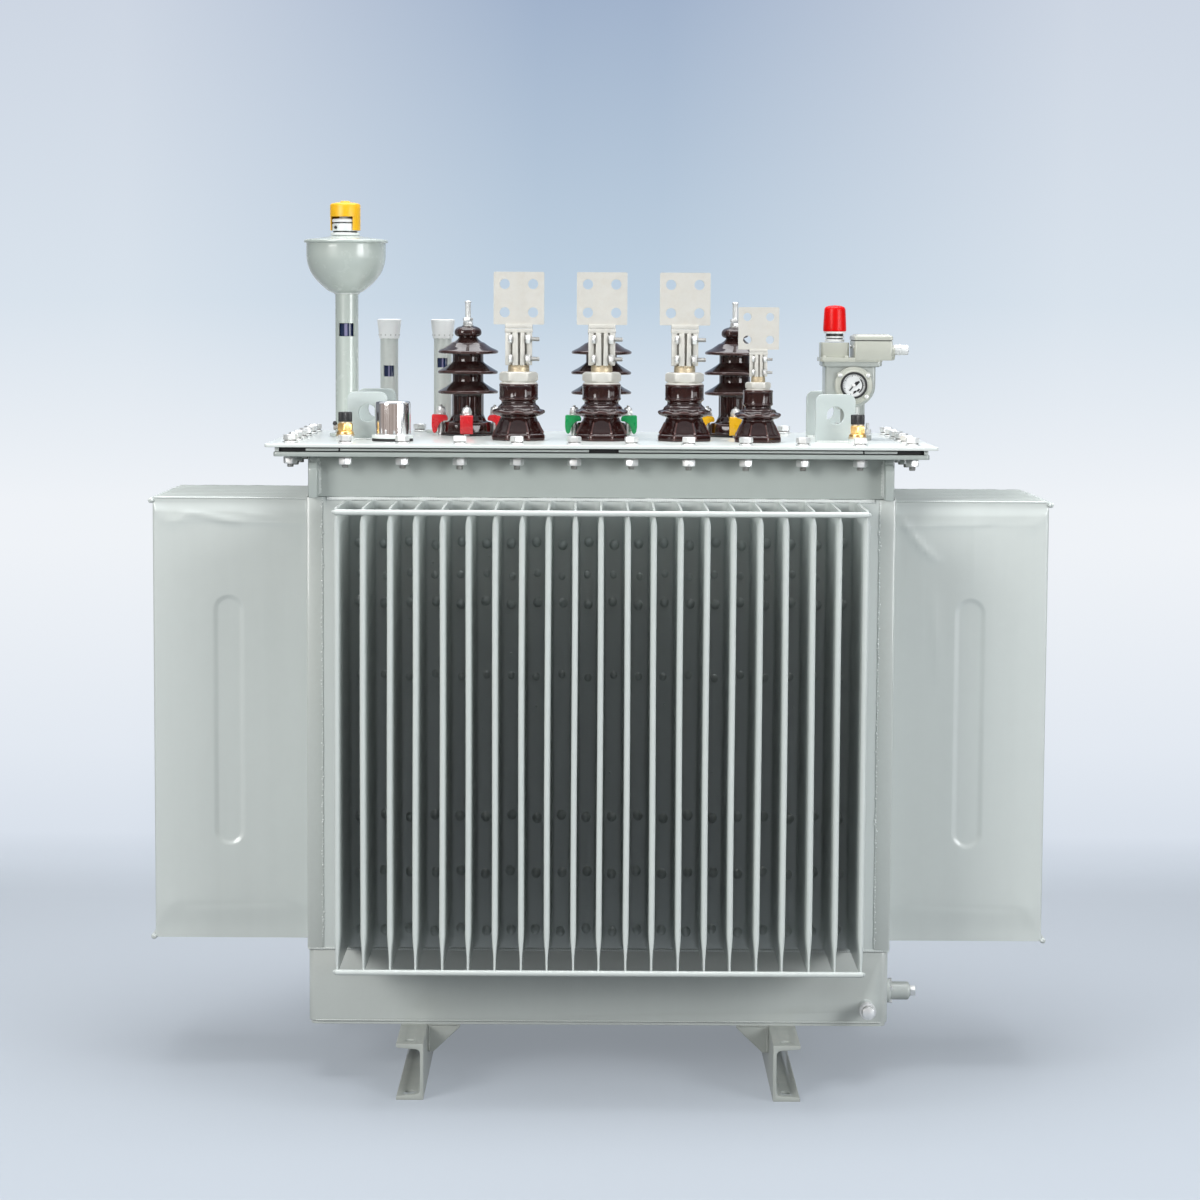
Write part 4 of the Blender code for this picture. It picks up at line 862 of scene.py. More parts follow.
def base_channels():
    """Two rolled channels with holes at both ends, and a gusset under each edge of the tank."""
    for name, side in (("left", -1), ("right", 1)):
        inner, outer = low("base_channel_" + name), high("base_channel_" + name)
        toe = inner.x if side < 0 else outer.x
        web = toe - side * CHANNEL_REACH
        blank = Blank()
        outline = [(web + side * a, b) for a, b in channel_section()]
        blank.add(extrude(outline, inner.y, outer.y, "y"))
        fitted = fit(blank, "channel_%s_dressed" % name, [BASE], ("base_channel_" + name,))
        drill = Blank()
        for end in (-1, 1):
            drill.add(lathe([(CHANNEL_HOLE_RADIUS, -0.02), (CHANNEL_HOLE_RADIUS, 0.12)], 28), 0,
                      stand(side * CHANNEL_HOLE_X, end * (outer.y - CHANNEL_HOLE_END), 0))
        cutter = bpy.data.meshes.new("drill")
        cutter.from_pydata(drill.points, [], drill.faces)
        tool = linked("drill", cutter)
        change = fitted.modifiers.new("holes", "BOOLEAN")
        change.operation = "DIFFERENCE"
        change.solver = "EXACT"
        change.object = tool
        ease_edges(fitted, 0.0009, 2, 50)
        bpy.data.objects.remove(tool, do_unlink=True)
        smooth_faces(fitted.data, 35)
        plates = Blank()
        top = CHANNEL_TOP
        for end in (-1, 1):
            first, last = sorted((end * (TANK_Y - 0.004), end * (TANK_Y - 0.012)))
            outline = [(web + side * 0.0005, top), (web - side * 0.058, top), (web - side * 0.058, top - 0.004),
                       (web - side * 0.01, top - 0.05), (web + side * 0.0005, top - 0.05)]
            plates.add(extrude(outline, first, last, "y"))
        fit(plates, "channel_gussets_" + name, [BASE], bevel=0.0011)
        joints = Blank()
        for end in (-1, 1):
            face = end * (TANK_Y - 0.0035)
            joints.add(bead((web + side * 0.002, face, top - 0.001), (web + side * 0.046, face, top - 0.001),
                            (0, end * 0.8, -0.6), 0.0022))
            joints.add(bead((web - side * 0.002, face, top - 0.048), (web - side * 0.002, face, top - 0.004),
                            (-side * 0.7, end * 0.7, 0), 0.002))
            joints.add(bead((web - side * 0.004, face, top - 0.0005), (web - side * 0.054, face, top - 0.0005),
                            (0, end * 0.8, -0.6), 0.002))
        fit(joints, "channel_weld_beads_" + name, [BASE], smooth=60)


def tank_shell():
    """The plain plates: the solids themselves with eased edges."""
    corners = ["%s_%s" % (end, side) for end in ("front", "back") for side in ("left", "right")]
    eased_copy("tank_lower_band", "lower_band_dressed", TANK, 0.0013)
    # The upper band and the flange take the darker copy of the tank paint, a painted shade under the cover.
    eased_copy("tank_upper_band", "upper_band_dressed", BAND_PAINTED_SHADE, 0.0013)
    eased_copy("tank_floor", "floor_dressed", TANK, 0.0008)
    for corner in corners:
        eased_copy("corner_post_" + corner, "corner_post_%s_dressed" % corner, TANK, 0.0011)
    eased_copy("tank_flange", "flange_dressed", BAND_PAINTED_SHADE, 0.001)
    eased_copy("cover_plate", "cover_dressed", COVER, 0.001)
    eased_copy("cover_gasket", "gasket_dressed", RUBBER, 0.0008)
    # The lugs take the darker copy of the tank paint, a painted shade.
    for corner in corners:
        eased_copy("lifting_lug_" + corner, "lifting_lug_%s_dressed" % corner, LUG_PAINTED_SHADE, 0.0014, 3)


def tank_welds():
    """Beads along the band seams, the corner posts, the hooks, the lugs and the foot of the lower band, with spatter
    beside the post seams.
    """
    blank = Blank()
    spatter_painted_highlight = Blank()
    post = TANK_X + POST_PROUD - POST_WIDTH
    side_post = TANK_Y + POST_PROUD - POST_WIDTH
    for end in (-1, 1):
        out = (0, end, 0)
        way = "front" if end < 0 else "back"
        face = end * (TANK_Y + 0.0006)
        blank.add(bead((-TANK_X + 0.01, face, BAND_TOP + 0.0001), (TANK_X - 0.01, face, BAND_TOP + 0.0001), out,
                       0.0026))
        spatter_painted_highlight.add(bead((-TANK_X + 0.034, face, UPPER_LOW - 0.003), (TANK_X - 0.034, face, UPPER_LOW - 0.003), out,
                         0.0034))
        for side in (-1, 1):
            blank.add(bead((side * post, face, WALL_LOW), (side * post, face, WALL_TOP), out, 0.0018, 0.0055, 0.3))
            blank.add(bead((side * (post + 0.003), face, UPPER_LOW + 0.006),
                           (side * (post + 0.003), face, UPPER_TOP - 0.01),
                           out, 0.002, 0.006, 0.35))
            blank.add(bead((side * (post - 0.012), face, WALL_LOW), (side * (TANK_X + 0.001), face, WALL_LOW), out,
                           0.0022))
            height = WALL_LOW + 0.01
            while height < WALL_TOP - 0.01:
                height += float(CHANCE.uniform(0.002, 0.012))
                shift = side * post + float(CHANCE.normal(0, 0.0011))
                size = float(CHANCE.uniform(0.0009, 0.0022))
                spatter_painted_highlight.add(dome(size, size * 0.9, 2, 6), 0, facing(shift, face + end * 0.0006, height, way))
    for side in (-1, 1):
        out = (side, 0, 0)
        face = side * (TANK_X + 0.0006)
        for height, size in ((BAND_TOP + 0.0001, 0.0026), (UPPER_LOW - 0.0002, 0.0032)):
            blank.add(bead((face, -TANK_Y + 0.01, height), (face, TANK_Y - 0.01, height), out, size))
        for end in (-1, 1):
            blank.add(bead((face, end * side_post, WALL_LOW), (face, end * side_post, WALL_TOP), out, 0.002, 0.0055,
                           0.25))
    for end in (-1, 1):
        for side in (-1, 1):
            x, y = side * LUG_X, end * LUG_Y
            for way in (-1, 1):
                blank.add(bead((x - 0.034, y + way * LUG_HALF, SEAT), (x + 0.034, y + way * LUG_HALF, SEAT),
                               (0, way * 0.7, 0.7), 0.0034))
                hook = side * HOOK_X + way * HOOK_HALF
                blank.add(bead((hook, end * (TANK_Y + 0.0005), UPPER_LOW + 0.004),
                               (hook, end * (TANK_Y + 0.0005), UPPER_TOP - 0.003), (way * 0.6, end * 0.8, 0), 0.0024))
    blank.add(bead((-TANK_X + 0.012, -TANK_Y - 0.0004, BAND_LOW + 0.0012),
                   (TANK_X - 0.012, -TANK_Y - 0.0004, BAND_LOW + 0.0012),
                   (0, -0.8, -0.6), 0.0018))
    # The weld beads carry the pale painted highlight on their ridges.
    fit(blank, "tank_weld_beads", [WELD_EDGE_HIGHLIGHT], smooth=60)
    # The bead under the upper band and the spatter on the post seams are painted pale, a painted highlight.
    fit(spatter_painted_highlight, "post_seam_spatter_painted_highlight", [SEAM_WELD_PAINTED_HIGHLIGHT], smooth=60)


def cover_fasteners():
    """Hexagon bolts round the cover with washers above and nuts below, and the spacer bars beside the gasket."""
    blank = Blank()
    places = [(index * BOLT_PITCH + BOLT_START, side * BOLT_FRONT) for index in range(10) for side in (-1, 1)]
    places += [(side * BOLT_SIDE, index * SIDE_BOLT_PITCH + SIDE_BOLT_START) for index in range(6) for side in (-1, 1)]
    for number, (x, y) in enumerate(places):
        spin = swivel(0.37 * number + 0.2)
        other = swivel(0.61 * number + 0.5)
        blank.add(washer(0.0134, 0.0024), 0, stand(x, y, COVER_TOP))
        blank.add(washer(0.0106, 0.0026), 1, stand(x, y, COVER_TOP + 0.0024))
        blank.add(nut(BOLT_ACROSS, 0.0092, False), 0, stand(x, y, COVER_TOP + 0.005) @ spin)
        below = facing(x, y, FLANGE_LOW, "down")
        blank.add(washer(0.013, 0.0024), 1, below)
        blank.add(nut(BOLT_ACROSS, 0.0122), 0, below @ stand(0, 0, 0.0024) @ other)
        blank.add(thread(BOLT_RADIUS, 0.0058 + 0.002 * math.sin(number * 1.9) ** 2, segments=16), 1,
                  below @ stand(0, 0, 0.0146))
    fit(blank, "cover_bolts", [ZINC, DARK_ZINC], smooth=30)
    bars = Blank()
    middle = (GASKET_LOW + GASKET_TOP) / 2
    edge = high("tank_flange").y - 0.0026
    for end in (-1, 1):
        y = end * edge
        for start, stop in ((-0.517, -0.46), (-0.457, -0.022), (0.03, 0.457), (0.46, 0.517)):
            bars.add(extrude(rectangle(0.006, 0.0042, 0.001, 2, (y, middle)), start, stop, "x"))
        for side in (-1, 1):
            bars.add(extrude(rectangle(0.007, 0.0072, 0.001, 2, (y, middle)), side * 0.571, side * 0.564, "x"))
    edge = high("tank_flange").x - 0.0026
    for side in (-1, 1):
        bars.add(extrude(rectangle(0.006, 0.0042, 0.001, 2, (side * edge, middle)), -0.235, -0.012, "y"))
        bars.add(extrude(rectangle(0.006, 0.0042, 0.001, 2, (side * edge, middle)), 0.012, 0.235, "y"))
    fit(bars, "gasket_spacer_bars", [TANK], bevel=0.0004)


# ------------------------------------------------------------------ high-voltage bushings
CLAMP_STUD = 0.0505


def hv_bushing(name, clamp_look):
    """Porcelain with three sheds, its stud and nuts, and four enamelled clamp fingers on studs round its foot."""
    x, y, seat = foot("hv_bushing_" + name)
    blank = Blank()
    profile = [(0.034, -0.0052), (0.0455, -0.0052), (0.0462, -0.002), (0.0462, 0.0105), (0.044, 0.016),
               (0.0375, 0.0172), (0.0345, 0.019), (0.0312, 0.0265), (0.0296, 0.03), (0.0296, 0.04), (0.0296, 0.052),
               (0.0296, 0.064)]
    for index in range(3):
        rise = 0.0708 + index * 0.0372
        profile += [(0.03, rise - 0.0012), (0.034, rise + 0.0006), (0.047, rise - 0.0004), (0.053, rise - 0.0016),
                    (0.0556, rise - 0.0008), (0.0566, rise + 0.0014), (0.0562, rise + 0.0036), (0.053, rise + 0.0056),
                    (0.043, rise + 0.0108), (0.035, rise + 0.016), (0.0302, rise + 0.0196)]
        if index < 2:
            profile += [(0.029, rise + 0.0215), (0.029, rise + 0.034)]
    profile += [(0.0262, 0.166), (0.0205, 0.17), (0.0175, 0.1735), (0.017, 0.1768)]

    def body(angle, radius, height):
        if height < 0.018:
            lobe = 0.5 + 0.5 * math.cos(8 * angle)
            return radius * (1 - 0.045 * (1 - lobe) * (1 if height > 0.001 else 0.6)), height
        if 0.028 < height < 0.066:
            return radius - 0.0014 * (0.5 - 0.5 * math.cos(12 * angle)), height
        if radius > 0.05:
            return (radius + 0.0006 * math.sin(3 * angle + height * 90),
                    height + 0.0005 * math.sin(2 * angle + height * 50))
        return radius, height
    blank.add(turned(profile, 0.0014, 84, 2, form=body), 0, stand(x, y, seat))
    cap = [(0.0172, 0.1752), (0.0215, 0.1764), (0.0244, 0.1786), (0.0256, 0.182), (0.0252, 0.1868), (0.0232, 0.1902),
           (0.02, 0.1926), (0.016, 0.1944), (0.0118, 0.1954), (0.0001, 0.1956)]

    def scallop(angle, radius, height):
        wave = 0.5 + 0.5 * math.cos(6 * angle + 0.6)
        return radius * (1 - 0.05 * (1 - wave) * ease((radius - 0.012) / 0.01)), height - 0.0004 * (1 - wave)
    blank.add(turned(cap, 0.0012, 72, 2, form=scallop), 0, stand(x, y, seat))
    fit(blank, "hv_porcelain_%s_dressed" % name, [PORCELAIN], ("hv_bushing_" + name,), smooth=50)
    metalwork = Blank()
    start = seat + 0.195
    metalwork.add(washer(0.0108, 0.0018), 1, stand(x, y, start))
    metalwork.add(nut(0.0168, 0.007), 0, stand(x, y, start + 0.0018) @ swivel(0.3))
    metalwork.add(nut(0.0168, 0.0066), 0, stand(x, y, start + 0.0092) @ swivel(0.8))
    metalwork.add(thread(0.0056, 0.0296, 0.0016), 0, stand(x, y, start + 0.015))
    metalwork.add(turned([(0.005, 0), (0.0064, 0), (0.0064, 0.0022), (0.0045, 0.0034), (0.0001, 0.0036)], 0.0008, 24),
                  0, stand(x, y, start + 0.044))
    fit(metalwork, "hv_stud_%s_dressed" % name, [ZINC, DARK_ZINC], ("hv_terminal_" + name,), smooth=32)
    clamp = Blank()
    finger = soften([(0.0672, 0.0388), (0.0676, 0.017), (0.0658, 0.0065), (0.062, 0.0028), (0.0584, 0.0055),
                     (0.0558, 0.015), (0.0515, 0.0228), (0.045, 0.0268), (0.0372, 0.0274), (0.0372, 0.033),
                     (0.04, 0.0376)], 0.003, 3, True)
    half = 0.0118
    for index in range(4):
        turn = stand(x, y, SEAT) @ swivel(math.tau * index / 4)
        clamp.add(extrude(finger, -half, half, "y"), 0, turn)
    fit(clamp, "hv_clamp_fingers_%s_dressed" % name, [clamp_look], ("hv_clamps_" + name,), bevel=0.0016,
        segments=3)
    small = Blank()
    small.add(lathe([(0.05, 0), (CLAMP_STUD, 0.001), (CLAMP_STUD, 0.0022), (0.048, 0.0032)], 64), 1, stand(x, y, SEAT))
    crown = soften([(0.008, 0), (0.008, 0.003), (0.0068, 0.0056), (0.0044, 0.0068), (0.0001, 0.007)], 0.0018, 3)
    for index in range(4):
        turn = stand(x, y, SEAT) @ swivel(math.tau * index / 4) @ stand(CLAMP_STUD, 0, 0)
        small.add(washer(0.0098, 0.0016), 0, turn @ stand(0, 0, 0.0386))
        small.add(nut(0.0165, 0.0072), 0, turn @ stand(0, 0, 0.0402) @ swivel(0.5 + index))
        small.add(lathe(crown, 28), 0, turn @ stand(0, 0, 0.0468))
        small.add(lathe([(0.0026, 0), (0.0026, 0.003), (0.0018, 0.0036)], 14), 2, turn @ stand(0, 0, 0.0532))
        small.add(lathe([(0.005, 0), (0.005, 0.028)], 16), 0, turn)
    fit(small, "hv_clamp_nuts_%s" % name, [ZINC, RUBBER, DARK_ZINC], smooth=34)


# ------------------------------------------------------------------ low-voltage bushings
def octagon_reach(angle, radius):
    sector = (angle + math.pi / 8) % (math.pi / 4) - math.pi / 8
    return radius / math.cos(sector)


def lv_bushing(name):
    """Eight-sided porcelain foot and waisted body, a split grip with two cross bolts, and a four-hole flag."""
    x, y, seat = foot("lv_bushing_" + name)
    small = name == "neutral"
    wide, tall, grip, flag_size = (0.87, 0.95, 0.66, 0.8) if small else (1.0, 1.0, 1.0, 1.0)
    lift = 0.0 if small else 0.0034
    blank = Blank()
    profile = [(0.045, 0.0003, 0), (0.0478, 0.001), (0.0482, 0.005), (0.0478, 0.0092), (0.0466, 0.0108),
               (0.0456, 0.0114), (0.0448, 0.0128), (0.0444, 0.015), (0.0406, 0.0212), (0.0378, 0.027),
               (0.0356, 0.0336), (0.0342, 0.0372), (0.033, 0.0392), (0.0325, 0.0412), (0.035, 0.0432), (0.042, 0.0452),
               (0.0462, 0.0474), (0.0476, 0.0496), (0.0474, 0.0522), (0.0446, 0.054), (0.0396, 0.0554),
               (0.0376, 0.0572), (0.0364, 0.06), (0.0344, 0.0618), (0.0318, 0.0632), (0.0308, 0.0654),
               (0.0312, 0.0676), (0.034, 0.069), (0.0353, 0.0706), (0.0354, 0.0728), (0.0347, 0.074), (0.0347, 0.085),
               (0.0347, 0.0938), (0.0353, 0.0948), (0.0353, 0.0968), (0.034, 0.0982)]
    stretched = []
    for spot in profile:
        rise = spot[1] + lift * ease((spot[1] - 0.056) / 0.014)
        slim = 0.885 if small and spot[1] > 0.062 else 1.0
        stretched.append((spot[0] * slim, rise) + tuple(spot[2:]))

    def form(angle, radius, height):
        reach = octagon_reach(angle, radius)
        sector = (angle + math.pi / 8) % (math.pi / 4)
        gap = min(sector, math.pi / 4 - sector)
        edge = math.exp(-(gap / 0.05) ** 2)
        if height < 0.012:
            return radius + (reach - radius) * 0.8, height
        if height < 0.0385:
            fade = 1 - ease((height - 0.03) / 0.0085)
            return radius + (reach - radius) * (0.6 * fade + 0.05) + 0.0024 * edge * fade, height
        if 0.044 < height < 0.061:
            ripple = math.cos(8 * angle + 0.4)
            return radius * (1 + 0.012 * ripple), height + 0.001 * ripple * ease((radius - 0.034) / 0.01)
        if 0.078 < height < 0.0945:
            return radius - 0.0005 * (0.5 - 0.5 * math.cos(16 * angle)), height
        return radius, height
    blank.add(turned(stretched, 0.0009, 112, 2, form=form), 0,
              stand(x, y, seat) @ Matrix.Diagonal((wide, wide, tall, 1.0)))
    fit(blank, "lv_porcelain_%s_dressed" % name, [PORCELAIN], ("lv_bushing_" + name,), smooth=50)

    place = stand(x, y, low("lv_terminal_" + name).z) @ Matrix.Diagonal((grip, grip, grip, 1.0))
    metalwork = Blank()
    metalwork.add(lathe([(0.0335, 0.0), (0.0338, lift + 0.0006), (0.0338, lift + 0.0022), (0.03, lift + 0.0026)], 56),
                  0, place)
    metalwork.add(nut(0.061, 0.019), 0, place @ stand(0, 0, lift + 0.0026))
    metalwork.add(turned([(0.0186, 0.021), (0.0192, 0.0228), (0.0192, 0.033), (0.0184, 0.0345), (0.018, 0.0375)],
                         0.0008, 40), 1, place)
    for ring in range(4):
        metalwork.add(lathe([(0.019, 0), (0.0197, 0.0007), (0.019, 0.0014)], 40, ends=False), 1,
                      place @ stand(0, 0, lift + 0.0224 + ring * 0.0028))
    low_grip, high_grip = 0.0366, 0.0975
    body = soften([(-0.0236, -0.007), (-0.012, -0.008), (0.012, -0.008), (0.0236, -0.007), (0.024, 0.012),
                   (0.017, 0.0205), (-0.017, 0.0205), (-0.024, 0.012)], 0.003, 3, True)
    metalwork.add(extrude(body, low_grip, high_grip), 0, place)
    for inner_low, inner_high, outer in ((-0.0006, -0.0016, -0.0108), (0.0026, 0.0036, 0.0106)):
        jaw = [(inner_low, -0.022), (outer, -0.022), (outer * 1.02, -0.021), (outer * 1.04, -0.006),
               (inner_low, -0.006)]
        rings = [[(a, b, low_grip) for a, b in jaw]]
        jaw[0], jaw[-1] = (inner_high, -0.022), (inner_high, -0.006)
        rings.append([(a, b, high_grip - 0.002) for a, b in jaw])
        metalwork.add(skin(rings), 0, place)
    for side in (-1, 1):
        ear = [(side * 0.0142, -0.0145), (side * 0.0238, -0.014), (side * 0.0244, -0.005), (side * 0.0142, -0.005)]
        metalwork.add(extrude(ear, low_grip + 0.001, high_grip - 0.002), 0, place)
    neck = soften([(-0.0252, -0.015), (0.0252, -0.015), (0.0252, 0.011), (-0.0252, 0.011)], 0.0025, 3, True)
    metalwork.add(extrude(neck, high_grip - 0.002, high_grip + 0.0052), 0, place)
    neck = soften([(-0.0246, -0.013), (0.0246, -0.013), (0.0246, 0.01), (-0.0246, 0.01)], 0.0025, 3, True)
    metalwork.add(extrude(neck, high_grip + 0.0056, 0.1106), 0, place)
    fit(metalwork, "lv_grip_%s_dressed" % name, [TINNED, BRONZE], ("lv_terminal_" + name,),
        bevel=0.0008, smooth=24)
    flag = Blank()
    half, bottom, height = 0.0456, 0.1098, 0.0946
    outline = soften([(-half, bottom, 0.002), (half, bottom, 0.002), (half, bottom + height, 0.003),
                      (-half, bottom + height, 0.003)], 0.002, 3, True)
    flag.add(plate_with_holes(outline, bottom + height / 2, 0.0255, 0.0092, 0.006), 0,
             stand(x, y, low("lv_terminal_" + name).z + 0.1098 * (grip - flag_size))
             @ Matrix.Diagonal((flag_size, flag_size, flag_size, 1.0)))
    fit(flag, "lv_flag_%s" % name, [TINNED], smooth=12)
    bolts = Blank()
    for level in (0.0483, 0.0838):
        head = soften([(0.008, 0), (0.008, 0.0042), (0.0056, 0.007), (0.0001, 0.0076)], 0.002, 3)
        bolts.add(lathe(head, 28), 0, place @ facing(-0.0114, -0.0182, level, "left"))
        bolts.add(washer(0.0088, 0.0016), 1, place @ facing(-0.0108, -0.0182, level, "left"))
        bolts.add(washer(0.0088, 0.0018), 1, place @ facing(0.0112, -0.0182, level, "right"))
        bolts.add(nut(0.0148, 0.008), 0, place @ facing(0.013, -0.0182, level, "right") @ swivel(level * 20))
        bolts.add(thread(0.004, 0.017, 0.0014, 16), 1, place @ facing(0.0206, -0.0182, level, "right"))
    fit(bolts, "lv_grip_bolts_%s" % name, [ZINC, DARK_ZINC], smooth=32)


def plate_with_holes(outline, middle, offset, radius, thick):
    """Upright flag plate with four round holes; each hole is ringed so that its edge stays clean."""
    work = bmesh.new()
    segments = 28
    rims = []
    outer = [work.verts.new((a, -thick, b)) for a, b in outline]
    edges = [work.edges.new((outer[index - 1], outer[index])) for index in range(len(outer))]
    for side in (-1, 1):
        for level in (-1, 1):
            rim = [work.verts.new((side * offset + radius * math.cos(math.tau * step / segments), -thick,
                                   middle + level * offset + radius * math.sin(math.tau * step / segments)))
                   for step in range(segments)]
            edges += [work.edges.new((rim[index - 1], rim[index])) for index in range(segments)]
            rims.append(rim)
    bmesh.ops.triangle_fill(work, use_beauty=True, use_dissolve=False, edges=edges)
    work.verts.index_update()
    front = [tuple(vert.co) for vert in work.verts]
    faces = [tuple(vert.index for vert in face.verts) for face in work.faces]
    loops = [[vert.index for vert in outer]] + [[vert.index for vert in rim] for rim in rims]
    count = len(front)
    points = front + [(a, thick, b) for a, _, b in front]
    made = list(faces) + [tuple(index + count for index in reversed(face)) for face in faces]
    for loop in loops:
        for index in range(len(loop)):
            made.append(bridge(loop[index - 1], loop[index], count))
    work.free()
    return points, made


# ------------------------------------------------------------------ fittings on the cover
def windowed_tube(blank, radius, wall, start, stop, sill, head, half_angle, place, finish=0):
    """Tube with a window through its front: outer and inner skins joined round the opening."""
    front, rest = 10, 40
    angles = [-math.pi / 2 - half_angle + 2 * half_angle * step / front for step in range(front)]
    angles += [-math.pi / 2 + half_angle + (math.tau - 2 * half_angle) * step / rest for step in range(rest)]
    count = len(angles)
    levels = (start, sill, head, stop)
    points = [polar(reach, angle, height)
              for reach in (radius, radius - wall) for height in levels for angle in angles]
    inside = 4 * count
    faces = []
    for level in range(3):
        for index in range(count):
            if level == 1 and index < front:
                continue
            corners = quad(level, index, count)
            faces += [corners, tuple(inside + corner for corner in reversed(corners))]
    for level in (1, 2):
        for index in range(front):
            faces.append(bridge(level * count + index, level * count + index + 1, inside))
    for index in (0, front):
        faces.append(bridge(count + index, 2 * count + index, inside))
    for level in (0, 3):
        for index in range(count):
            faces.append(bridge(level * count + index, level * count + (index + 1) % count, inside))
    blank.add((points, faces), finish, place)


def filler():
    """Standpipe with a sight window, a round-bottomed bowl with its coned lid, and the relief valve on it."""
    x, y, seat = foot("filler_tube")
    place = stand(x, y, seat)
    blank = Blank()
    windowed_tube(blank, 0.0212, 0.003, 0.004, 0.2645, 1.3285 - seat, 1.3525 - seat, 0.8, place)
    blank.add(turned([(0.0204, 0), (0.032, 0), (0.032, 0.0058), (0.0222, 0.0062), (0.0214, 0.01)], 0.001, 56, 2), 0,
              place)
    bowl = [(0.018, 0.2615)] + flow([(0.0214, 0.263), (0.027, 0.2646), (0.035, 0.269), (0.0515, 0.2836),
                                     (0.063, 0.298), (0.0694, 0.312), (0.0722, 0.324), (0.073, 0.334)], 5)
    bowl += soften([(0.073, 0.35), (0.073, 0.3548), (0.0768, 0.3552), (0.0774, 0.3566), (0.0774, 0.3588),
                    (0.0762, 0.3606), (0.07, 0.362), (0.056, 0.3636), (0.04, 0.3656), (0.031, 0.3668),
                    (0.0296, 0.3676), (0.0001, 0.368)], 0.001, 3)
    blank.add(lathe(bowl, 96), 0, place @ stand(-0.0012, 0, 0))
    blank.add(bead_ring(0.0216, 0.263, 0.0018), 1, place)
    fit(blank, "filler_dressed", [FILLER, WELD_EDGE_HIGHLIGHT], ("filler_tube",), smooth=40)
    glass = Blank()
    glass.add(lathe([(0.015, 1.326 - seat), (0.015, 1.355 - seat)], 40), 0, place)
    # Lilac strip inside the window: a painted highlight.
    glass.add(extrude([(-0.0034, -0.0156), (0.0022, -0.0156), (0.0022, -0.013), (-0.0034, -0.013)],
                      1.329 - seat, 1.352 - seat), 1, place)
    fit(glass, "filler_sight_glass", [WINDOW, WINDOW_PAINTED_HIGHLIGHT])
    relief_valve(place @ stand(-0.0026, 0, low("relief_valve").z - seat))


def relief_valve(stem):
    """Relief valve: stacked rings under a yellow hood that is open to the front left."""
    valve = Blank()
    valve.add(turned([(0.025, 0), (0.0268, 0.0006), (0.0268, 0.0046), (0.0258, 0.0054), (0.022, 0.0056)], 0.0006, 56,
                     2), 1, stem)
    valve.add(lathe([(0.0222, 0.005), (0.0222, 0.0086)], 48), 3, stem)
    valve.add(turned([(0.0222, 0.0082), (0.0236, 0.0084), (0.0238, 0.01), (0.0238, 0.0208), (0.023, 0.0222),
                      (0.02, 0.0224)], 0.0006, 56, 2), 1, stem)
    valve.add(lathe([(0.0216, 0.0216), (0.0216, 0.0248)], 48), 3, stem)
    valve.add(turned([(0.0216, 0.0244), (0.0238, 0.0244), (0.024, 0.029), (0.0228, 0.0306), (0.015, 0.0312)], 0.0006,
                     56, 2), 2, stem)
    valve.add(lathe([(0.011, 0.03), (0.011, 0.052)], 32), 2, stem)
    valve.add(turned([(0.003, 0), (0.003, 0.006), (0.0001, 0.0068)], 0.0008, 16), 3,
              stem @ facing(-0.0165, -0.015, 0.015, "front"))
    hood_low, hood_mid, hood_top = 0.0096, 0.0345, 0.059
    outer, inner = 0.0278, 0.0258
    opening = (math.radians(172), math.radians(304))
    segments = 72
    angles = [math.tau * step / segments for step in range(segments)]
    shell = [(outer, hood_low), (outer, hood_mid), (outer, hood_top - 0.004), (outer - 0.001, hood_top - 0.0016),
             (outer - 0.0034, hood_top - 0.0002), (0.017, hood_top + 0.0012), (0.0095, hood_top + 0.0018),
             (0.0088, hood_top + 0.0034), (0.007, hood_top + 0.0042), (0.0001, hood_top + 0.0044)]
    lining = [(inner, hood_low), (inner, hood_mid), (inner, hood_top - 0.006), (inner - 0.004, hood_top - 0.0026),
              (0.0001, hood_top - 0.002)]
    for profile in (shell, lining):
        points = [polar(radius, angle, height) for radius, height in profile for angle in angles]
        faces = []
        for level in range(len(profile) - 1):
            for index in range(segments):
                if level == 0 and opening[0] <= angles[index] < opening[1]:
                    continue
                faces.append(quad(level, index, segments))
        valve.add((points, faces), 0, stem)
    first = next(index for index in range(segments) if angles[index] >= opening[0])
    last = next(index for index in range(segments) if angles[index] >= opening[1])
    for index in range(segments):
        level = hood_mid if first <= index < last else hood_low
        a, b = angles[index], angles[(index + 1) % segments]
        valve.add(([polar(reach, angle, level)
                    for reach, angle in ((outer, a), (outer, b), (inner, b), (inner, a))], [(0, 1, 2, 3)]), 0, stem)
    for index in (first, last):
        angle = angles[index]
        valve.add(([polar(reach, angle, level)
                    for reach, level in ((outer, hood_low), (inner, hood_low), (inner, hood_mid), (outer, hood_mid))],
                   [(0, 1, 2, 3)]), 0, stem)
    fit(valve, "relief_valve_dressed", [YELLOW_PLASTIC, COVER, WHITE_PLASTIC, BLACK_PLASTIC],
        ("relief_valve",), smooth=42)


def bead_ring(radius, height, size):
    """Rippled weld bead round a pipe."""
    rings = []
    for step in range(120):
        angle = math.tau * step / 120
        swell = size * (1 + 0.16 * math.sin(step * 1.9) + 0.08 * math.sin(step * 0.7))
        rings.append([polar(radius + swell * math.cos(turn), angle, height + swell * math.sin(turn))
                      for turn in (-1.7, -0.85, 0.0, 0.85, 1.7)])
    rings.append(rings[0])
    return skin(rings, False, False)


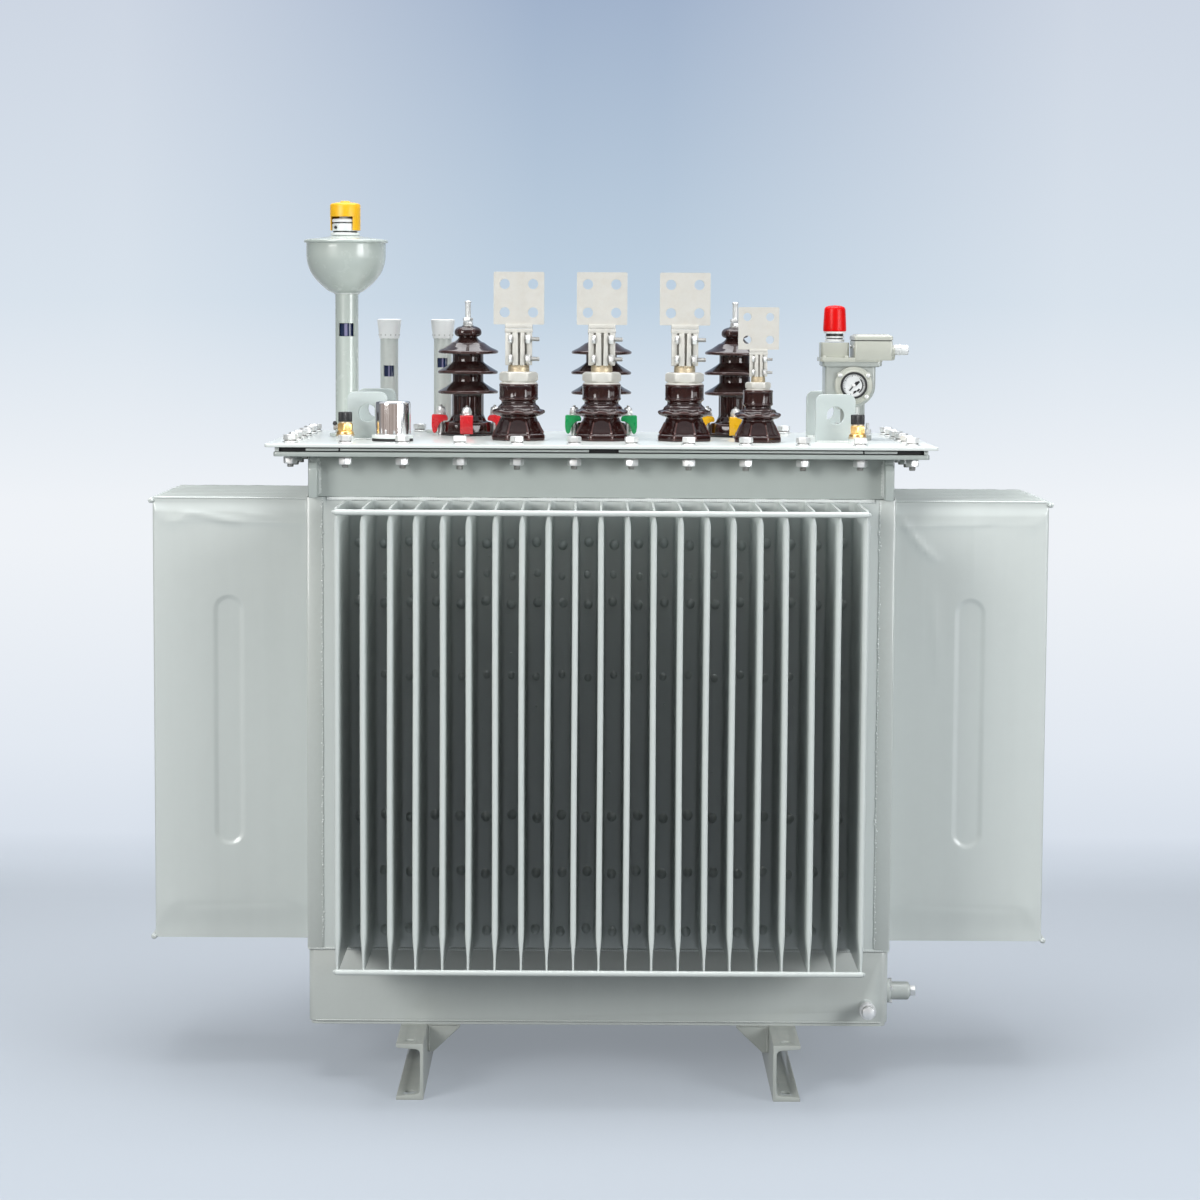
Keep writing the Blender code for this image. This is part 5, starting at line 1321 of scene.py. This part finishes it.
def gauges():
    """Slim oil gauge tubes with a small window and a ribbed white cap."""
    for name, sill, head, shift in (("outer", 1.2515, 1.2725, -0.0012), ("inner", 1.2685, 1.2865, 0.0006)):
        x, y, seat = foot("gauge_tube_" + name)
        place = stand(x + shift, y, seat)
        blank = Blank()
        windowed_tube(blank, 0.017, 0.0022, 0.004, 0.1815, sill - seat, head - seat, 0.66, place)
        blank.add(turned([(0.016, 0), (0.032, 0), (0.032, 0.0056), (0.018, 0.0062), (0.0171, 0.009)], 0.001, 48, 2), 0,
                  place)
        fit(blank, "gauge_tube_%s_dressed" % name, [TANK], ("gauge_tube_" + name,), smooth=40)
        glass = Blank()
        glass.add(lathe([(0.0142, sill - seat - 0.003), (0.0142, head - seat + 0.003)], 36), 0, place)
        # Lilac strip inside the window: a painted highlight.
        glass.add(extrude([(-0.0012, -0.0146), (0.0016, -0.0146), (0.0016, -0.012), (-0.0012, -0.012)],
                          sill - seat - 0.002, head - seat + 0.002), 1, place)
        fit(glass, "gauge_glass_" + name, [WINDOW, WINDOW_PAINTED_HIGHLIGHT])
        cap = Blank()
        start = place @ stand(0, 0, low("gauge_cap_" + name).z - seat - 0.0036)
        profile = soften([(0.0168, 0.0), (0.0186, 0.0), (0.019, 0.0014), (0.0197, 0.008), (0.0228, 0.034),
                          (0.0225, 0.0362), (0.0205, 0.037), (0.0001, 0.0372)], 0.001, 3)

        def ribs(angle, radius, height):
            notch = max(0.0, math.cos(12 * angle + 0.4)) ** 6 if height < 0.001 else 0.0
            return radius, height + 0.0016 * notch
        cap.add(lathe(profile, 96, ribs), 0, start)
        for step in range(12):
            turn = swivel(math.tau * step / 12 + 0.2)
            cap.add(dome(0.0012, 0.0014, 3, 10), 1, start @ turn @ facing(0.0193, 0, 0.007, "right"))
        fit(cap, "gauge_cap_%s_dressed" % name, [WHITE_PLASTIC, DARK_ZINC], ("gauge_cap_" + name,),
            smooth=40)


def thermometer_pot():
    """Bright round cover on a flange, with a black gasket below it."""
    place = stand(*foot("thermometer_pot"))
    blank = Blank()
    blank.add(turned([(0.03, 0.0), (0.0368, 0.0), (0.0368, 0.0042), (0.03, 0.0046)], 0.0006, 64, 2), 1, place)
    blank.add(turned([(0.03, 0.0046), (0.0365, 0.0046), (0.0372, 0.0056), (0.0372, 0.0098), (0.036, 0.011),
                      (0.0318, 0.0112)], 0.0006, 72, 2), 2, place)
    blank.add(turned([(0.0318, 0.011), (0.032, 0.012), (0.032, 0.0665), (0.0308, 0.07), (0.028, 0.0712),
                      (0.0001, 0.0714)], 0.0016, 96, 4), 0, place)
    for step in range(4):
        turn = swivel(math.tau * step / 4 + 5.3) @ stand(0.0345, 0, 0.011)
        blank.add(dome(0.0022, 0.0016, 4, 14), 3, place @ turn)
    fit(blank, "thermometer_pot_dressed", [CHROME, RUBBER, COVER, ZINC], ("thermometer_pot",),
        smooth=40)


def vent_plugs():
    """Hexagon brass plug on a painted boss, with a round foot and a ribbed black cap."""
    for side, shift in (("left", -0.004), ("right", 0.004)):
        x, y, seat = foot("vent_plug_" + side)
        place = stand(x + shift, y, seat)
        blank = Blank()
        blank.add(turned([(0.0168, 0.0), (0.0158, 0.001), (0.0152, 0.008), (0.014, 0.0084)], 0.0008, 48, 2), 4, place)
        blank.add(turned([(0.014, 0.008), (0.0166, 0.0082), (0.0166, 0.0112), (0.015, 0.0118)], 0.0005, 48, 2), 2,
                  place)
        blank.add(turned([(0.012, 0.0116), (0.0156, 0.0118), (0.015, 0.016), (0.0138, 0.0172), (0.0118, 0.0176)],
                         0.001, 48, 3), 0, place)
        blank.add(nut(0.0246, 0.014), 0, place @ stand(0, 0, 0.0172) @ swivel(0.42))
        blank.add(turned([(0.01, 0.0308), (0.0118, 0.0312), (0.0118, 0.0338), (0.01, 0.0342)], 0.0006, 40, 2), 2, place)

        def ribs(angle, radius, height):
            return radius - (0.0006 * (0.5 - 0.5 * math.cos(28 * angle)) if radius > 0.011 else 0.0), height
        blank.add(turned([(0.0095, 0.0338), (0.0124, 0.0338), (0.0124, 0.05), (0.0114, 0.0514), (0.0001, 0.0518)],
                         0.0008, 168, 2, form=ribs), 1, place)
        if side == "left":
            blank.add(lathe([(0.003, 0), (0.003, 0.006)], 14), 3, place @ facing(-0.012, -0.002, 0.024, "left"))
            blank.add(nut(0.009, 0.0042), 3, place @ facing(-0.0165, -0.002, 0.024, "left"))
            blank.add(turned([(0.0038, 0), (0.0042, 0.002), (0.0026, 0.006), (0.0001, 0.0066)], 0.001, 18), 1,
                      place @ stand(-0.0182, -0.002, 0.0285))
        fit(blank, "vent_plug_%s_dressed" % side, [BRASS, BLACK_PLASTIC, BRONZE, DARK_ZINC, COVER],
            ("vent_plug_" + side,), smooth=32)


# ------------------------------------------------------------------ relay
RELAY_X = 0.4515
RELAY_Y = -0.01
RELAY_PIPE_X = 0.0105
RELAY_HALF_DEPTH = 0.039
DIAL_X = 0.0087
DIAL_Z = 0.1007


def relay():
    """Protection relay on its pipe foot, with dial, terminal box and red cap."""
    seat = low("relay_body").z
    place = stand(RELAY_X, RELAY_Y, seat)
    relay_chamber(place)
    relay_dial(place)
    relay_terminal_box(place)
    relay_cap(place @ stand(-0.024, 0, low("relay_cap").z - seat))
    relay_foot_bolts(place)


def relay_chamber(place):
    """Chamber rounded about its dial, on a pipe, with a flanged lip and a head."""
    body = Blank()
    body.add(turned([(0.015, 0), (0.0358, 0), (0.0358, 0.0088), (0.024, 0.0096), (0.0225, 0.013), (0.0225, 0.09)],
                    0.001, 56, 3), 0, place @ stand(RELAY_PIPE_X, 0, 0))
    reach = 0.0488 - DIAL_X
    outline = [(0.0488, 0.1345), (-0.0431, 0.1345), (-0.0431, 0.08, 0.01), (-0.018, 0.057, 0.012),
               (-0.011, 0.052, 0.004)]
    outline = soften(outline, 0.002, 4, False)[:-1]
    for step in range(15):
        angle = math.radians(-118 + 118 * step / 14)
        outline.append((DIAL_X + reach * math.cos(angle), DIAL_Z + reach * math.sin(angle)))
    rings = []
    for along, inset in ((-RELAY_HALF_DEPTH, 0.004), (-RELAY_HALF_DEPTH + 0.001, 0.0018),
                         (-RELAY_HALF_DEPTH + 0.0036, 0.0), (RELAY_HALF_DEPTH - 0.0036, 0.0),
                         (RELAY_HALF_DEPTH - 0.001, 0.0018), (RELAY_HALF_DEPTH, 0.004)):
        shrink = 1 - inset / 0.045
        rings.append([(a * shrink, along, DIAL_Z + (b - DIAL_Z) * shrink if b < 0.13 else b) for a, b in outline])
    body.add(skin(rings), 0, place)
    body.add(extrude(rectangle(0.103, 0.086, 0.01, 6, (0.0045, 0)), 0.134, 0.1358), 0, place)
    body.add(extrude(rectangle(0.109, 0.092, 0.01, 6, (0.0056, 0)), 0.1358, 0.1432), 0, place)
    body.add(extrude(rectangle(0.114, 0.0962, 0.01, 6, (0.004, 0)), 0.1434, 0.1508), 1, place)
    body.add(extrude(rectangle(0.052, 0.06, 0.008, 6, (-0.0248, 0)), 0.15, 0.178), 1, place)
    for side in (-1, 1):
        body.add(turned([(0.004, 0), (0.004, 0.003), (0.0001, 0.0036)], 0.0008, 20), 1,
                 place @ stand(side * 0.02 - 0.0248, -0.0385, 0.1508))
    fit(body, "relay_body_dressed", [RELAY, RELAY_HEAD], ("relay_body",), bevel=0.0014, segments=3,
        smooth=44)


def relay_dial(place):
    """Dial under a bezel: card with ticks and arcs, two pointers, a wedge and four screwed ears."""
    dial = Blank()
    middle = (DIAL_X, -RELAY_HALF_DEPTH, DIAL_Z)
    boss = soften([(0.0345, -0.004), (0.0345, 0.0052), (0.033, 0.0068), (0.0276, 0.0074), (0.0266, 0.0094),
                   (0.0246, 0.0098), (0.0238, 0.009), (0.0234, 0.005)], 0.0008, 3)
    dial.add(lathe(boss, 72, ends=False), 0, place @ facing(*middle, "front"))
    for angle in (0.62, 2.52, 3.86, 5.56):
        ear = (middle[0] + 0.031 * math.cos(angle), -RELAY_HALF_DEPTH, middle[2] + 0.031 * math.sin(angle))
        dial.add(turned([(0.0058, -0.002), (0.0058, 0.0074), (0.0048, 0.0084), (0.0001, 0.0086)], 0.0008, 28), 0,
                 place @ facing(*ear, "front"))
        dial.add(lathe([(0.0036, 0), (0.0036, 0.0014), (0.003, 0.0018), (0.0001, 0.0018)], 20), 4,
                 place @ facing(ear[0], -RELAY_HALF_DEPTH - 0.0086, ear[2], "front"))
    ring = soften([(0.0206, 0.005), (0.0244, 0.005), (0.0246, 0.01), (0.0238, 0.0122), (0.0214, 0.0122),
                   (0.0204, 0.01)], 0.0006, 2)
    dial.add(lathe(ring, 80, ends=False), 1, place @ facing(*middle, "front"))
    dial.add(lathe([(0.0212, 0.0052), (0.0212, 0.0064), (0.0001, 0.0064)], 64), 2, place @ facing(*middle, "front"))
    card = place @ facing(middle[0], -RELAY_HALF_DEPTH - 0.0064, middle[2], "front")
    for step in range(26):
        angle = math.radians(250 - step * 10)
        inner = 0.016 if step % 5 == 0 else 0.0176
        wide = 0.00038 if step % 5 == 0 else 0.00022
        dial.add(extrude([(inner, -wide), (0.0192, -wide), (0.0192, wide), (inner, wide)], 0, 0.0003), 3,
                 card @ swivel(angle))
    for first, last, near, far in ((-0.95, 0.75, 0.015, 0.0172), (-1.05, -0.55, 0.0105, 0.014)):
        arc = [[polar(reach, angle, 0.0003) for angle in np.linspace(first, last, 16)] for reach in (near, far)]
        dial.add(skin(arc, False, False), 3, card)
    needle = [(-0.005, -0.0014), (0.015, -0.0009), (0.0162, 0.0), (0.015, 0.0009), (-0.005, 0.0014)]
    dial.add(extrude(needle, 0.001, 0.0016), 3, card @ swivel(-2.25) @ stand(-0.003, 0, 0))
    thin = [(0.0, -0.00035), (0.017, -0.00025), (0.017, 0.00025), (0.0, 0.00035)]
    dial.add(extrude(thin, 0.0006, 0.001), 4, card @ swivel(math.pi - 0.1))
    wedge = [(-0.001, -0.0026), (0.0092, -0.0034), (0.0108, -0.0006), (0.0052, 0.0026), (-0.001, 0.002)]
    dial.add(extrude(wedge, 0.0003, 0.0011), 3, card @ stand(0.0022, 0.0006, 0) @ swivel(0.85))
    wedge = [(-0.003, -0.0016), (0.0046, -0.0022), (0.0054, 0.0004), (0.001, 0.0018)]
    dial.add(extrude(wedge, 0.0003, 0.0012), 3, card @ stand(0.0004, -0.0128, 0) @ swivel(0.65))
    dial.add(turned([(0.003, 0), (0.003, 0.0022), (0.0001, 0.0028)], 0.0006, 24), 4, card)
    fit(dial, "relay_dial", [RELAY_HEAD, BLACK_PLASTIC, DIAL_CARD, BLACK_PLASTIC, ZINC], smooth=35)


def relay_terminal_box(place):
    """Box with a screwed lid and a cable gland on its right."""
    box = Blank()
    width, deep = 0.069, 0.086
    floor_z, top_z = 0.1462, 0.19
    turn = place @ stand(0.0428, -0.006, 0) @ swivel(math.radians(2.0))
    box.add(extrude(rectangle(width, deep, 0.004, 4), floor_z, 0.1812), 0, turn)
    box.add(extrude(rectangle(width - 0.003, deep - 0.003, 0.003, 4), 0.1806, 0.183), 2, turn)
    lid = []
    for grow, level in ((0.0012, 0.1828), (0.0012, top_z - 0.002), (0.0, top_z), (-0.011, 0.193), (-0.017, 0.1936)):
        lid.append([(a, b, level) for a, b in rectangle(width + grow, deep + grow, 0.004, 4)])
    box.add(skin(lid), 0, turn)
    for a in (-1, 1):
        for b in (-1, 1):
            box.add(turned([(0.0032, 0), (0.0032, 0.0014), (0.0001, 0.0018)], 0.0004, 18), 3,
                    turn @ stand(a * (width / 2 - 0.007), b * (deep / 2 - 0.007), top_z))
        box.add(turned([(0.003, 0), (0.003, 0.0014), (0.0001, 0.0018)], 0.0004, 18), 3,
                turn @ facing(-width / 2, a * 0.026, 0.17, "left"))
    collar = turn @ facing(width / 2, -0.004, 0.1592, "right")
    box.add(turned([(0.0128, 0), (0.0132, 0.0006), (0.0132, 0.007), (0.012, 0.0082), (0.0001, 0.0084)], 0.0008, 40, 2),
            0, collar)
    gland = turn @ facing(width / 2, -0.004, 0.1652, "right")
    box.add(turned([(0.0096, 0.006), (0.0096, 0.016), (0.009, 0.0166)], 0.0008, 40, 2), 1, gland)
    box.add(nut(0.0184, 0.004), 1, gland @ stand(0, 0, 0.015))
    box.add(turned([(0.0082, 0.0185), (0.0094, 0.019), (0.0094, 0.032), (0.008, 0.0334), (0.0058, 0.0336),
                    (0.0001, 0.0334)], 0.0008, 40, 2), 1, gland)
    fit(box, "relay_terminal_box_dressed", [RELAY_HEAD, WHITE_PLASTIC, RUBBER, ZINC],
        ("relay_terminal_box",), bevel=0.001)


def relay_cap(start):
    """Red hood over stacked rings."""
    cap = Blank()
    cap.add(turned([(0.016, -0.0016), (0.0178, -0.0016), (0.018, 0.0026), (0.015, 0.0034)], 0.0005, 48, 2), 1, start)
    cap.add(lathe([(0.0148, 0.003), (0.0148, 0.0056)], 40), 2, start)
    cap.add(turned([(0.015, 0.005), (0.017, 0.0052), (0.017, 0.0084), (0.015, 0.0088)], 0.0005, 48, 2), 1, start)
    cap.add(lathe([(0.016, 0.0086), (0.016, 0.0135)], 40), 2, start)
    cap.add(turned([(0.016, 0.0132), (0.0196, 0.0134), (0.0196, 0.0172), (0.019, 0.0178)], 0.0005, 48, 2), 1, start)
    hood = soften([(0.0186, 0.0172, 0.0006), (0.0211, 0.0174, 0.0008), (0.0213, 0.022), (0.0208, 0.034),
                   (0.0196, 0.056, 0.004), (0.0189, 0.0596, 0.003), (0.0166, 0.0622, 0.002), (0.011, 0.0642),
                   (0.0001, 0.065)], 0.003, 4)
    cap.add(lathe(hood, 96), 0, start)
    fit(cap, "relay_cap_dressed", [RED_PLASTIC, WHITE_PLASTIC, BLACK_PLASTIC], ("relay_cap",), smooth=40)


def relay_foot_bolts(place):
    """Four studs with nuts round the pipe foot."""
    small = Blank()
    for angle in (-0.35, 1.22, 2.79, 4.36):
        spot = place @ stand(RELAY_PIPE_X + 0.029 * math.cos(angle), 0.029 * math.sin(angle), 0.0088)
        small.add(washer(0.0072, 0.0014), 0, spot)
        small.add(nut(0.012, 0.0092, True), 0, spot @ stand(0, 0, 0.0014))
        small.add(thread(0.0032, 0.012, 0.0012, 14), 0, spot @ stand(0, 0, 0.01))
    fit(small, "relay_foot_bolts", [ZINC], smooth=32)


# ------------------------------------------------------------------ drain and earthing
def drain():
    """Flanged outlet on the right side with its gasket, body and plug."""
    base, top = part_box("drain_valve")
    place = facing(base.x, (base.y + top.y) / 2, (base.z + top.z) / 2, "right")
    blank = Blank()
    blank.add(turned([(0.016, -0.0002), (0.0212, 0.0), (0.0212, 0.0034), (0.016, 0.0036)], 0.0005, 48, 2), 1, place)
    blank.add(turned([(0.016, 0.0036), (0.0218, 0.0038), (0.0218, 0.01), (0.02, 0.0112), (0.0172, 0.0118),
                      (0.0168, 0.0128)], 0.0008, 56, 3), 0, place)
    blank.add(turned([(0.0164, 0.0125), (0.0164, 0.043), (0.0155, 0.0458), (0.0125, 0.0466)], 0.0016, 56, 3), 0, place)
    blank.add(lathe([(0.0112, 0.046), (0.0112, 0.0482)], 36), 0, place)
    blank.add(nut(0.0178, 0.01), 2, place @ stand(0, 0, 0.0478) @ swivel(0.25))
    for angle in (1.2, 2.8, 4.3, 5.9):
        blank.add(nut(0.0068, 0.0055), 2, place @ stand(0.019 * math.cos(angle), 0.019 * math.sin(angle), 0.0098))
    fit(blank, "drain_dressed", [TANK, RUBBER, ZINC], ("drain_valve",), smooth=34)
    earth = Blank()
    out = facing(0.48, -TANK_Y - 0.0005, 0.1375, "front")
    earth.add(turned([(0.013, 0.0), (0.0112, 0.002), (0.0106, 0.006), (0.0106, 0.027), (0.0098, 0.028),
                      (0.007, 0.028)], 0.001, 40, 2), 0, out)
    earth.add(lathe([(0.006, 0.027), (0.006, 0.05)], 24), 2, out)
    earth.add(washer(0.0146, 0.0022), 1, out @ stand(0, 0, 0.028))
    earth.add(nut(0.021, 0.0095), 1, out @ stand(0, 0, 0.0302) @ swivel(0.1))
    earth.add(washer(0.0148, 0.0022), 1, out @ stand(0, 0, 0.0425))
    earth.add(washer(0.0112, 0.0026), 2, out @ stand(0, 0, 0.0447))
    earth.add(nut(0.0205, 0.0085, False), 1, out @ stand(0, 0, 0.0473) @ swivel(0.5236))
    fit(earth, "earth_bolt", [WELD_EDGE_HIGHLIGHT, ZINC, DARK_ZINC], smooth=32)


# ------------------------------------------------------------------ stage, lamps and camera
CAMERA_PLACE = (-0.0176, -5.73, 1.3808)
CAMERA_PITCH, CAMERA_YAW, CAMERA_ROLL = 0.0934, 0.003, 0.0057
FOCAL_LENGTH = 93.15


def stage():
    """Pale floor that sweeps up into a backdrop; the camera and mirror-like surfaces see it evenly bright."""
    rows = [(-9.0, 0.0), (1.2, 0.0), (1.5, 0.0), (1.66, 0.015), (1.76, 0.06), (1.82, 0.16), (1.85, 0.35), (1.86, 0.8),
            (1.86, 6.0)]
    points = [(side * 14.0, a, b) for a, b in rows for side in (-1, 1)]
    faces = [(2 * index, 2 * index + 1, 2 * index + 3, 2 * index + 2) for index in range(len(rows) - 1)]
    data = bpy.data.meshes.new("studio_sweep")
    data.from_pydata(points, [], faces)
    data.shade_smooth()
    made = linked("studio_sweep", data)
    look, tree, shader = finish_tree("pale_studio_sweep")
    place = put(tree, "SeparateXYZ", {0: put(tree, "TexCoord").outputs["Object"]})
    height = place.outputs["Z"]
    path = put(tree, "LightPath")
    direct, mirrored = path.outputs["Is Camera Ray"], path.outputs["Is Glossy Ray"]
    seen = calc(tree, "MAXIMUM", direct, mirrored)
    wall = spread(tree, height, 0.004, 0.1)
    plain = blend_colours(tree, wall, (0.13, 0.135, 0.14, 1), (0.2, 0.21, 0.22, 1))
    shown = blend_colours(tree, wall, (0.3, 0.325, 0.36, 1), (0.0, 0.0, 0.0, 1))
    tree.links.new(blend_colours(tree, seen, plain, shown), shader.inputs["Base Color"])
    shade = blend_colours(tree, spread(tree, height, 0.02, 0.3), (0.46, 0.55, 0.68, 1), (0.66, 0.73, 0.83, 1))
    shade = blend_colours(tree, spread(tree, height, 0.3, 0.8), shade, (0.86, 0.89, 0.93, 1))
    shade = blend_colours(tree, spread(tree, height, 0.9, 1.4), shade, (0.52, 0.635, 0.75, 1))
    shade = blend_colours(tree, spread(tree, height, 1.4, 2.15), shade, (0.35, 0.44, 0.59, 1))
    aside = calc(tree, "ABSOLUTE", place.outputs["X"])
    shade = blend_colours(tree, calc(tree, "MULTIPLY", spread(tree, aside, 0.15, 1.15), 0.5), shade,
                          (0.86, 0.89, 0.93, 1))
    tree.links.new(blend_colours(tree, wall, (0.23, 0.252, 0.278, 1), shade), shader.inputs["Emission Color"])
    dim = calc(tree, "MULTIPLY", spread(tree, place.outputs["X"], -2.2, -1.2, 0.3, 1.0),
               spread(tree, place.outputs["X"], 2.8, 3.8, 1.0, 0.3))
    strength = calc(tree, "MAXIMUM", direct, calc(tree, "MULTIPLY", mirrored, calc(tree, "MULTIPLY", dim, 0.85)))
    tree.links.new(strength, shader.inputs["Emission Strength"])
    behind = put(tree, "NewGeometry").outputs["Backfacing"]
    tree.links.new(calc(tree, "SUBTRACT", 1.0, behind), shader.inputs["Alpha"])
    shader.inputs["Roughness"].default_value = 0.85
    shader.inputs["Specular IOR Level"].default_value = 0.1
    data.materials.append(look)


def world():
    """Plain room light; shiny surfaces see a warm, streaked room in front and a brighter ceiling."""
    made = bpy.data.worlds.new("soft_room")
    bpy.context.scene.world = made
    made.use_nodes = True
    tree = made.node_tree
    back = tree.nodes["Background"]
    mirrored = put(tree, "LightPath").outputs["Is Glossy Ray"]
    way = put(tree, "TexCoord").outputs["Generated"]
    parts = put(tree, "SeparateXYZ", {0: way})
    turn = calc(tree, "ARCTAN2", parts.outputs["X"], calc(tree, "MULTIPLY", parts.outputs["Y"], -1.0))
    ceiling = spread(tree, parts.outputs["Z"], 0.1, 0.6)
    streaks = put(tree, "TexNoise", {"Vector": put(tree, "CombineXYZ", {0: turn}).outputs[0], "Scale": 5.5,
                                     "Detail": 3.0,
                                     "Roughness": 0.7}).outputs["Fac"]
    front = calc(tree, "MULTIPLY", spread(tree, turn, -1.6, -1.2), spread(tree, turn, 0.78, 0.62, 0.0, 1.0))
    front = calc(tree, "MULTIPLY", front, calc(tree, "SUBTRACT", 1.0, ceiling))
    side = blend_colours(tree, ceiling, (0.2, 0.21, 0.22, 1), (0.8, 0.84, 0.88, 1))
    warm = blend_colours(tree, spread(tree, streaks, 0.38, 0.62), (0.24, 0.19, 0.17, 1), (0.6, 0.52, 0.47, 1))
    room = blend_colours(tree, front, side, warm)
    tree.links.new(blend_colours(tree, mirrored, (0.315, 0.345, 0.365, 1), room), back.inputs["Color"])
    back.inputs["Strength"].default_value = 1.0


def soft_box(name, place, target, width, height, power, colour=(1, 1, 1)):
    data = bpy.data.lights.new(name, "AREA")
    data.shape = "RECTANGLE"
    data.size = width
    data.size_y = height
    data.energy = power
    data.color = colour
    made = linked(name, data)
    made.location = place
    made.rotation_euler = (Vector(target) - Vector(place)).to_track_quat("-Z", "Y").to_euler()


def lamps():
    soft_box("key_box", (-3.6, -4.6, 2.7), (0, 0, 0.8), 2.4, 2.4, 200, (1.0, 0.99, 0.97))
    soft_box("fill_box", (3.9, -4.2, 2.0), (0, 0, 0.8), 2.0, 2.2, 128, (0.97, 0.985, 1.0))
    soft_box("top_box", (0.0, -0.4, 4.4), (0, 0, 1.0), 3.2, 2.4, 138)
    soft_box("back_box", (0.0, 1.4, 3.6), (0, -0.2, 0.9), 3.4, 0.8, 30)
    soft_box("window_near", (3.15, -2.45, 1.75), (-0.3, 0, 1.3), 0.8, 1.3, 9)
    soft_box("window_far", (3.6, -1.6, 1.75), (-0.3, 0, 1.3), 0.8, 1.3, 9)


def camera():
    """View that the photograph was solved to: a long lens a little above the cover, looking slightly down."""
    pitch, yaw, roll = CAMERA_PITCH, CAMERA_YAW, CAMERA_ROLL
    ahead = Vector((math.sin(yaw) * math.cos(pitch), math.cos(yaw) * math.cos(pitch), -math.sin(pitch)))
    right = Vector((math.cos(yaw), -math.sin(yaw), 0.0))
    up = right.cross(ahead)
    side = right * math.cos(roll) + up * math.sin(roll)
    crown = -right * math.sin(roll) + up * math.cos(roll)
    data = bpy.data.cameras.new("view")
    data.lens = FOCAL_LENGTH
    data.sensor_width = 36.0
    data.clip_end = 60.0
    made = linked("view", data)
    turn = Matrix((side, crown, -ahead)).transposed().to_4x4()
    made.matrix_world = Matrix.Translation(CAMERA_PLACE) @ turn
    bpy.context.scene.camera = made


cooling_walls()
base_channels()
tank_shell()
tank_welds()
cover_fasteners()
hv_bushing("left", RED)
hv_bushing("middle", GREEN)
hv_bushing("right", YELLOW)
for bushing in ("1", "2", "3", "neutral"):
    lv_bushing(bushing)
filler()
gauges()
thermometer_pot()
vent_plugs()
relay()
drain()
stage()
world()
lamps()
camera()
bpy.context.scene.view_settings.view_transform = "Standard"
